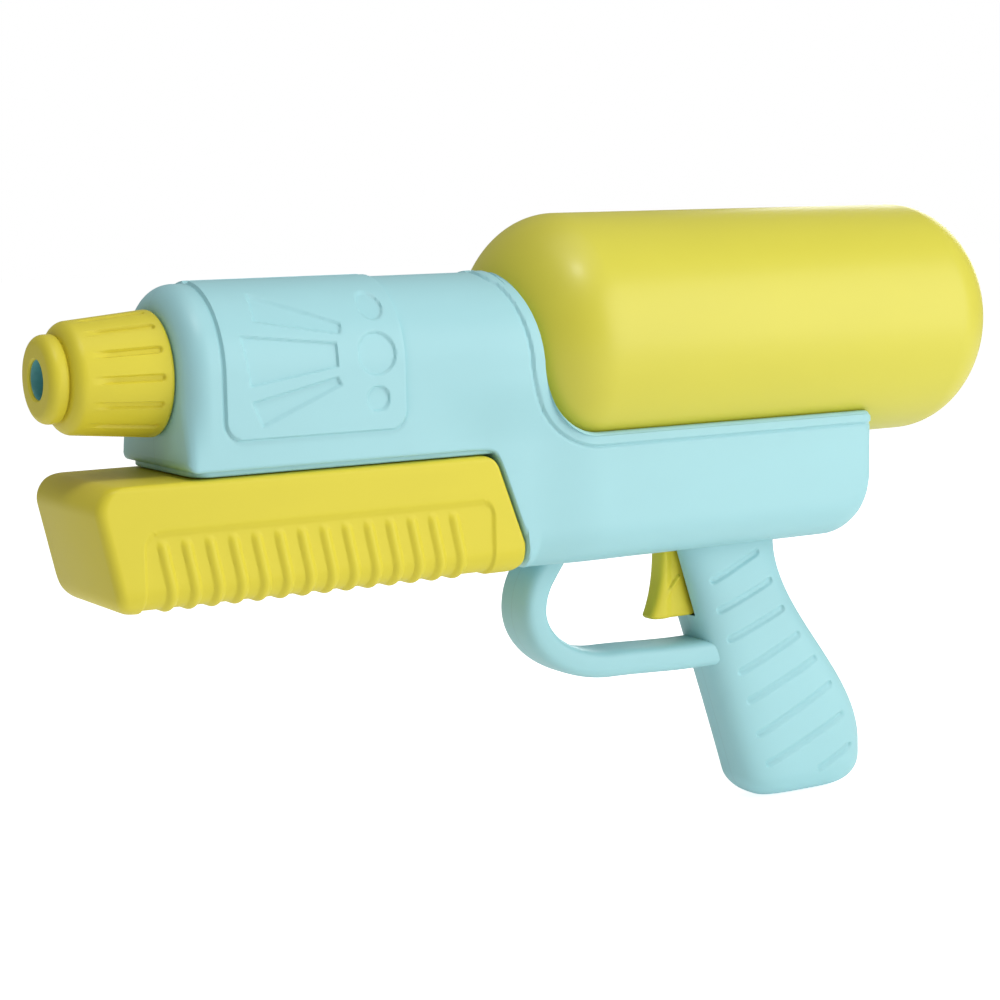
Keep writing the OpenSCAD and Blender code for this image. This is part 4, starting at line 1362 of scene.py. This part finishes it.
@dataclass
class NozzleCap(Assembly):
    """The fluted screw cap round the nozzle, with the jet disc behind its outlet."""

    length: float = 39.2
    rim_r: float = 20.7
    rim_round: float = 1.6
    waist_r: float = 18.3
    shoulder: float = 4.5
    collar_r: float = 14.3
    collar_len: float = 6.2
    collar_round: float = 3.4
    collar_gap: float = 0.5
    outlet_r: float = 6.5
    outlet_depth: float = 6.0
    outlet_chamfer: float = 0.6
    pocket_r: float = 9.5
    thread_r: float = 12.05
    thread_front: float = 13.0
    flutes: int = 14
    flute_half: float = 1.3
    flute_edge: Span = (0.6, 1.05)
    flute_depth: float = 1.0
    flute_start: float = 11.5
    flute_full: float = 20.0
    flute_stop: float = 34.6
    flute_least_r: float = 17.8
    turns: int = 448
    jet_crease: float = 30.0

    # Crease behind the collar, as radius and setback from the collar's rear edge
    CREASE = ((0.0, -0.7), (-0.3, -0.2), (-0.9, 0.1), (-1.1, 0.4))

    # Jet disc as radius and setback: its funnel, the thin liner in the outlet, the rim and the stem
    JET = (
        (0.8, 8.0), (4.0, 6.3), (6.25, 6.3), (6.25, 1.1), (6.32, 0.95), (6.4, 0.95), (6.45, 1.1), (6.45, 6.3),
        (9.1, 6.3), (9.1, 12.0), (5.0, 12.0), (5.0, 15.0), (2.98, 15.0), (2.98, 22.0), (1.6, 22.0),
    )

    def profile(self) -> Array:
        """Closed profile: outlet, rounded collar, crease, rounded shoulder, cone, rim and stepped inside.

        Returns:
            Radius and setback of each point.
        """
        quarter = np.linspace(0.0, QUARTER, 9)
        across, along = np.sin(quarter), 1.0 - np.cos(quarter)
        collar = stacked(self.collar_r - self.collar_round * (1.0 - across), self.collar_round * along)
        crease = np.array(self.CREASE) + [self.collar_r, self.collar_len]
        start = self.collar_len + self.collar_gap
        waist = start + self.shoulder
        shoulder = stacked(self.waist_r - self.shoulder * (1.0 - across), start + self.shoulder * along)
        rim_start = self.length - self.rim_round
        s = np.linspace(waist, rim_start, 72)[1:-1]
        slope = (self.rim_r - self.waist_r) / (rim_start - waist)
        cone = stacked(self.waist_r + slope * (s - waist), s)
        rim = stacked(self.rim_r - self.rim_round * along, self.length - self.rim_round * (1.0 - across))
        inside = [
            (self.thread_r, self.length),
            (self.thread_r, self.thread_front),
            (self.pocket_r, self.thread_front),
            (self.pocket_r, self.outlet_depth),
            (self.outlet_r, self.outlet_depth),
            (self.outlet_r, self.outlet_chamfer),
            (self.outlet_r + self.outlet_chamfer, 0.0),
        ]
        return np.concatenate([inside[-1:], collar, crease, shoulder, cone, rim, inside[:-1]])

    def surface(self) -> Surface:
        """The profile turned about the nozzle's axis, with flutes pressed into its cone.

        A flute's depth is a smooth step of the distance to its middle line, which fades in behind the
        shoulder and ends in a half round short of the rim.

        Returns:
            The closed surface.
        """
        profile = self.profile()
        angle = steps(self.turns, FULL_TURN)
        radius, s = profile[:, :1], profile[:, 1:]
        pitch = FULL_TURN / self.flutes
        across = np.abs((angle + pitch / 2) % pitch - pitch / 2) * radius
        near = np.hypot(across, np.maximum(s - self.flute_stop, 0.0)) / self.flute_half
        pressed = 1.0 - smoothstep(*self.flute_edge, near)
        pressed = pressed * smoothstep(self.flute_start, self.flute_full, s) * (radius > self.flute_least_r)
        fluted = radius - self.flute_depth * pressed
        points = stacked(-s, fluted * np.cos(angle), fluted * np.sin(angle))
        return Surface(points.reshape(-1, 3), grid_quads(len(profile), self.turns, wrap_rows=True).tolist())

    def build(self, palette: Palette) -> None:
        """Builds the cap and the jet disc inside it, and dresses them.

        Args:
            palette: Finishes of the part.
        """
        cap = make_object("nozzle_cap", self.surface())
        self.add(cap, palette, Slot.MOULDED, "cap", ("nozzle_cap",))
        jet = make_object("jet_disc", spin(np.array(self.JET)), self.jet_crease)
        self.add(jet, palette, Slot.INSERT, "body", ("jet_disc",))


@dataclass
class PumpHandle(Assembly):
    """The sliding pump handle, with a sunk grip panel and curved ribs that wrap under it."""

    half: float = 28.0
    top: float = -32.9
    low: float = -74.8
    front: float = 8.0
    brow: float = 8.0
    chin: float = 7.5
    rake: float = math.radians(12.6)
    keel: float = 9.5
    crown: float = 2.0
    nose_round: float = 3.5
    rear_top: float = 152.8
    rear_foot: float = 164.4
    foot: float = -64.3
    rear_round: float = 4.5
    heel_round: float = 5.0
    tail_round: float = 1.6
    panel: Span = (23.5, 151.5)
    panel_top: float = -48.3
    panel_round: float = 5.0
    panel_depth: float = 0.9
    panel_soft: float = 0.5
    relief_over: float = 3.0
    rib_start: float = 27.3
    rib_pitch: float = 8.18
    rib_count: int = 15
    rib_place: float = 0.25
    rib_rise: float = 1.1
    rib_half: float = 2.1
    rib_head: float = -53.4
    rib_sway: float = 3.4
    sway_heights: Span = (-48.0, -71.0)

    # Openings: the round rod hole, and the place of the slide plate in the top
    ROD_BORE = ((4.1, 126.0, 170.0),)
    PLATE = (48.0, 147.4)
    PLATE_HALF = 19.6
    PLATE_HEIGHTS = (-37.0, -30.0)

    def front_line(self, z: Array) -> Array:
        """Setback of the front face at a height: a round brow, a raked line and a round chin.

        Args:
            z: Heights.

        Returns:
            Setback at each height.
        """
        sin, cos, tan = math.sin(self.rake), math.cos(self.rake), math.tan(self.rake)
        brow_s, brow_z = self.front + self.brow, self.top - self.brow
        chin_z = self.low + self.chin
        start, start_z = brow_s - self.brow * cos, brow_z - self.brow * sin
        end_z = chin_z - self.chin * sin
        chin_s = start + (start_z - end_z) * tan + self.chin * cos
        upper = brow_s - np.sqrt(np.maximum(self.brow**2 - (z - brow_z) ** 2, 0.0))
        middle = start + (start_z - z) * tan
        lower = chin_s - np.sqrt(np.maximum(self.chin**2 - (z - chin_z) ** 2, 0.0))
        return np.where(z > start_z, upper, np.where(z > end_z, middle, lower))

    def rear_line(self, z: Array) -> Array:
        """Setback of the rear face at a height: a slant beside the body's step, with a rounded top and heel.

        Args:
            z: Heights.

        Returns:
            Setback at each height.
        """
        share = np.minimum((self.top - z) / (self.top - self.foot), 1.0)
        slant = self.rear_top + (self.rear_foot - self.rear_top) * share
        return slant - fillet(self.top - z, self.rear_round) - fillet(z - self.low, self.heel_round)

    def relief(self, s: Array, z: Array) -> Array:
        """Height of the ribs over the sunk grip panel: each rib is a round-headed parabolic bead that sways.

        Args:
            s: Setbacks of the points.
            z: Heights of the points.

        Returns:
            How far each point stands out from the plain form.
        """
        panel = panel_distance(s, z - self.panel_top, self.panel, self.panel_round)
        sunk = self.panel_depth * within(panel, self.panel_soft)
        phase = (s - self.rib_start - self.rib_sway * smoothstep(*self.sway_heights, z)) / self.rib_pitch
        aside = (phase - np.floor(phase) - self.rib_place) * self.rib_pitch
        near = np.hypot(aside, np.maximum(z - self.rib_head, 0.0)) / self.rib_half
        bead = np.maximum(1.0 - near * near, 0.0) * (phase > 0.0) * (phase < self.rib_count - 1.0)
        return self.rib_rise * bead - sunk

    def surface(self) -> Surface:
        """Side view rows and round-cornered sections in one grid.

        Each section is a loop in Y and Z, and each of its points runs along X between the front and rear
        faces at its own height, so the faces stay round in plan as well as in side view.

        Returns:
            The closed surface.
        """
        floor, turn, rise = steps(14), steps(20, QUARTER), steps(30)
        bend, lid = steps(7, QUARTER), np.linspace(0.0, 1.0, 8)
        side_low, side_high = self.low + self.keel, self.top - self.crown
        y = np.concatenate(
            [
                floor * (self.half - self.keel),
                self.half - self.keel + self.keel * np.sin(turn),
                self.half + 0.0 * rise,
                self.half - self.crown + self.crown * np.cos(bend),
                (self.half - self.crown) * (1.0 - lid),
            ]
        )
        z = np.concatenate(
            [
                self.low + 0.0 * floor,
                side_low - self.keel * np.cos(turn),
                side_low + (side_high - side_low) * rise,
                side_high + self.crown * np.sin(bend),
                self.top + 0.0 * lid,
            ]
        )
        flat = [np.zeros(len(part)) for part in (floor, rise, lid)]
        normal_y = np.concatenate([flat[0], np.sin(turn), flat[1] + 1.0, np.cos(bend), flat[2]])
        normal_z = np.concatenate([flat[0] - 1.0, -np.cos(turn), flat[1], np.sin(bend), flat[2] + 1.0])
        along = stations(0.0, (0.06, 22), (0.94, 360), (1.0, 22))[:, None]
        front, rear = self.front_line(z), self.rear_line(z)
        s = front + (rear - front) * along
        draw = fillet(s - front, self.nose_round) + fillet(rear - s, self.tail_round)
        raised = self.relief(s, z + 0.0 * s) * (z < self.panel_top + self.relief_over)
        sideways = y * (1.0 - draw / self.half) + normal_y * raised
        return loft_halves(stacked(-s, sideways, z + normal_z * raised))

    def build(self, palette: Palette) -> None:
        """Builds the handle, opens its top and its rod hole, and dresses it.

        Args:
            palette: Finishes of the part.
        """
        handle = make_object("pump_handle", self.surface())
        plate = block(self.PLATE, self.PLATE_HALF, self.PLATE_HEIGHTS)
        carve(handle, [plate, bore(PUMP_HEIGHT, 48, self.ROD_BORE)])
        self.add(handle, palette, Slot.MOULDED, "pump", ("pump_handle",))


@dataclass
class Trigger(Assembly):
    """The trigger blade, with a hooked tip and a slanting bead on its sides."""

    half: float = 4.5
    pivot: float = 246.0
    pivot_drop: float = 65.0
    pin_hole: float = 1.55
    pin_reach: Span = (-8.0, 8.0)
    squareness: float = 0.45
    spacing_half: float = 6.0

    # Round hub at the top, and the neck where the blade starts
    top: float = 60.6
    hub_top: float = 60.5
    hub_front: float = 241.5
    hub_round: float = 4.5
    hub_short: float = 0.5
    neck: float = 72.0

    # Blade from the neck to the tip: its lead over the pivot, a slight bow and the hook
    blade_len: float = 29.0
    lead: float = 7.6
    bow: float = 0.5
    hook: float = 4.6
    low: float = 102.4
    tip_round: float = 1.6
    tip_thinning: float = 0.6
    back: float = 250.6
    heel: float = 2.0
    heel_drops: Span = (89.5, 95.5)
    spur: float = 3.6
    spur_drops: Span = (95.8, 99.4)

    # Hollow sides with a bead left standing
    flank: float = 0.7
    hollow: float = 1.2
    hollow_front: Span = (239.0, 243.0)
    hollow_top: Span = (70.0, 76.0)
    ridge: float = 1.2
    ridge_edge: Span = (0.3, 1.0)

    BEAD = ((237.0, -96.9), (245.6, -87.4))

    def surface(self) -> Surface:
        """Superellipse sections stacked down the blade.

        The front is a round hub that eases into a cubic, which hooks forward at the tip. The back moves out
        by two smooth steps. The sides are hollow except for a bead, a smooth step of the distance to its
        line.

        Returns:
            The closed surface.
        """
        drop = stations(self.top, (64.0, 12), (self.neck, 8), (98.0, 60), (self.low, 18))[:, None]
        t = np.clip((drop - self.neck) / self.blade_len, 0.0, 1.0)
        blade = self.pivot - self.lead - self.bow * t - self.hook * t**3
        rounding = fillet(drop - self.hub_top, self.hub_round)
        hub = self.hub_front + rounding
        eased = hub + (blade - hub) * smoothstep(self.pivot_drop, self.neck, drop)
        front = np.where(drop < self.neck, eased, blade)
        tail = self.heel * smoothstep(*self.heel_drops, drop) + self.spur * smoothstep(*self.spur_drops, drop)
        short = self.hub_short * smoothstep(self.neck, self.pivot_drop, drop)
        back = self.back + tail - np.where(drop < self.pivot_drop, self.hub_short + rounding, short)
        inset = fillet(self.low - drop, self.tip_round)
        unit = superellipse(120, self.spacing_half, self.half, self.squareness)
        s = (front + back) / 2 + ((back - front) / 2 - inset) * unit[:, 0]
        y = (self.half - inset * self.tip_thinning) * unit[:, 1]
        bead = line_distance(s, -drop + 0.0 * s, np.array(self.BEAD))
        flank = np.abs(unit[:, 1]) > self.flank
        hollow = self.hollow * smoothstep(*self.hollow_front, s) * smoothstep(*self.hollow_top, drop)
        ridge = self.ridge * (1.0 - smoothstep(*self.ridge_edge, bead))
        y = y - np.sign(y) * flank * np.maximum(hollow - ridge, 0.0)
        return loft(stacked(-s, y, -drop))

    def build(self, palette: Palette) -> None:
        """Builds the trigger, bores it for its pin and dresses it.

        Args:
            palette: Finishes of the part.
        """
        trigger = make_object("trigger", self.surface())
        carve(trigger, [cross_hole(self.pivot, -self.pivot_drop, self.pin_reach, self.pin_hole)])
        self.add(trigger, palette, Slot.MOULDED, "trigger", ("trigger",))


@dataclass
class ValveSpring(Assembly):
    """The wire spring that shuts the valve, and that shortens as the trigger is pulled."""

    front: float = 268.05
    rear: float = 278.45
    seat: float = 279.0
    coil_r: float = 3.25
    wire_r: float = 0.45
    turns: int = 5
    turn_steps: int = 40
    wire_sides: int = 10
    travel: float = 5.8

    def surface(self) -> Surface:
        """A round wire carried along a helix.

        The helix is (-s, r cos a, r sin a), and each ring of the wire lies in X and the radius.

        Returns:
            The closed surface.
        """
        angle = np.linspace(0.0, FULL_TURN * self.turns, self.turn_steps * self.turns + 1)[:, None]
        around = steps(self.wire_sides, FULL_TURN)
        setback = self.front + (self.rear - self.front) * angle / angle[-1]
        radius = self.coil_r + self.wire_r * np.cos(around)
        x = self.wire_r * np.sin(around) - setback
        return loft(stacked(x, radius * np.cos(angle), radius * np.sin(angle) + VALVE_HEIGHT))

    def build(self, palette: Palette) -> None:
        """Builds the spring, dresses it and gives it a mesh of its own.

        Args:
            palette: Finishes of the part.
        """
        spring = make_object("valve_spring", self.surface())
        self.add(spring, palette, Slot.SCREW, "body", ("valve_spring",))
        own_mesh(spring)


@dataclass
class InnerWorks(Assembly):
    """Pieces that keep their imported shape: screws, seals, hoses, pump and valve."""

    record: dict[str, Any]
    nodes: dict[str, bpy.types.Object]

    def build(self, palette: Palette) -> None:
        """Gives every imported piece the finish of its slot.

        Args:
            palette: Finishes of the part.
        """
        for part in self.record["subparts"]:
            palette.dress(self.nodes[part["node"]], Slot(part["material_slot"]))
        LOG.info("dressed %d packed pieces", len(self.record["subparts"]))


# Studio


def set_up(name: str, data: bpy.types.ID, axes: Sequence[Sequence[float]], place: Triple) -> bpy.types.Object:
    """Stands a light or a camera in the scene.

    Args:
        name: Name of the object.
        data: The light or camera itself.
        axes: Its own X, Y and Z directions.
        place: Where it stands, in millimetres.

    Returns:
        The new object.
    """
    pose = np.eye(4)
    pose[:3, :3] = np.transpose(axes)
    pose[:3, 3] = np.array(place) * MM
    holder = bpy.data.objects.new(name, data)
    holder.matrix_world = Matrix(pose.tolist())
    bpy.context.scene.collection.objects.link(holder)
    return holder


@dataclass(frozen=True)
class SoftLight:
    """One soft square light, with its side in millimetres and its power in watts."""

    name: str
    place: Triple
    size: float
    power: float
    aim: Triple = (-190.0, 0.0, -40.0)

    def hang(self) -> None:
        """Hangs the light so that it faces its aim, with its sides level."""
        lamp = bpy.data.lights.new(self.name, "AREA")
        lamp.size = self.size * MM
        lamp.energy = self.power
        toward = np.array(self.place) - np.array(self.aim)
        toward /= np.linalg.norm(toward)
        across = np.cross([0.0, 0.0, 1.0], toward)
        across /= np.linalg.norm(across)
        set_up(self.name, lamp, (across, np.cross(toward, across), toward), self.place)


@dataclass
class Studio:
    """Pale floor, soft lights and the camera."""

    floor_height: float = -177.0
    floor_reach: float = 6000.0
    floor_tone: Triple = (0.9, 0.9, 0.9)
    ambient: float = 0.28

    # Camera: its lens and sensor, its shifts as shares of the picture, its reach, place and directions
    lens: float = 85.95
    sensor: float = 36.0
    slide: float = 0.001
    slide_up: float = 0.0015
    sight: float = 100000.0
    place: Triple = (266.8, 718.2, 56.1)
    right: Triple = (-0.8526, 0.5221, -0.0198)
    up: Triple = (-0.0839, -0.0995, 0.9915)
    back: Triple = (0.5157, 0.8471, 0.1287)

    LIGHTS = (
        SoftLight("key_light", (-795.0, 900.0, 260.0), 1100.0, 9.6),
        SoftLight("far_light", (-1250.0, -800.0, 250.0), 500.0, 3.0),
        SoftLight("top_light", (-190.0, 150.0, 1460.0), 1200.0, 4.5),
        SoftLight("tank_softbox", (42.0, 382.0, 827.0), 190.0, 2.2, aim=(-183.0, 32.0, 29.0)),
    )

    def sky(self) -> None:
        """Sets a plain sky that looks white behind the part and lights it more softly than it looks."""
        world = bpy.data.worlds.new("studio_sky")
        sky = NodeTree(world)
        background = sky.tree.nodes["Background"]
        seen = sky.node("ShaderNodeLightPath").outputs["Is Camera Ray"]
        strength = sky.node("ShaderNodeMapRange", Value=seen, To_Min=self.ambient, To_Max=1.0)
        sky.feed(background.inputs["Color"], (1.0, 1.0, 1.0, 1.0))
        sky.feed(background.inputs["Strength"], strength.outputs["Result"])
        bpy.context.scene.world = world

    def floor(self) -> None:
        """Lays a large pale floor just under the grip."""
        reach = self.floor_reach
        corners = np.array([[-reach, -reach], [reach, -reach], [reach, reach], [-reach, reach]])
        points = np.column_stack([corners, np.full(4, self.floor_height)])
        floor = make_object("studio_floor", Surface(points, [[0, 1, 2, 3]]))
        floor.data.materials.append(StudioPaper("studio_paper", self.floor_tone).material())

    def camera(self) -> None:
        """Sets the camera at the photograph's angle, from its place and its three directions."""
        lens = bpy.data.cameras.new("photo_camera")
        lens.lens = self.lens
        lens.sensor_width = self.sensor
        lens.shift_x = self.slide
        lens.shift_y = self.slide_up
        lens.clip_end = self.sight * MM
        bpy.context.scene.camera = set_up("photo_camera", lens, (self.right, self.up, self.back), self.place)

    def build(self) -> None:
        """Sets up floor, sky, lights and camera."""
        self.floor()
        self.sky()
        for light in self.LIGHTS:
            light.hang()
        self.camera()
        bpy.context.scene.view_settings.view_transform = "Standard"


def main() -> None:
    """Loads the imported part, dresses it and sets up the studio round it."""
    logging.basicConfig(level=logging.INFO, format="%(name)s: %(message)s")
    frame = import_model()
    palette = Palette()
    InnerWorks(frame["record"], frame["nodes"]).build(palette)
    shells = (BodyShell(), SlideRail(), TriggerGuard(), Grip())
    moving = (Tank(), NozzleCap(), PumpHandle(), Trigger(), ValveSpring())
    for assembly in shells + moving:
        assembly.build(palette)
    Studio().build()


if __name__ == "__main__":
    main()
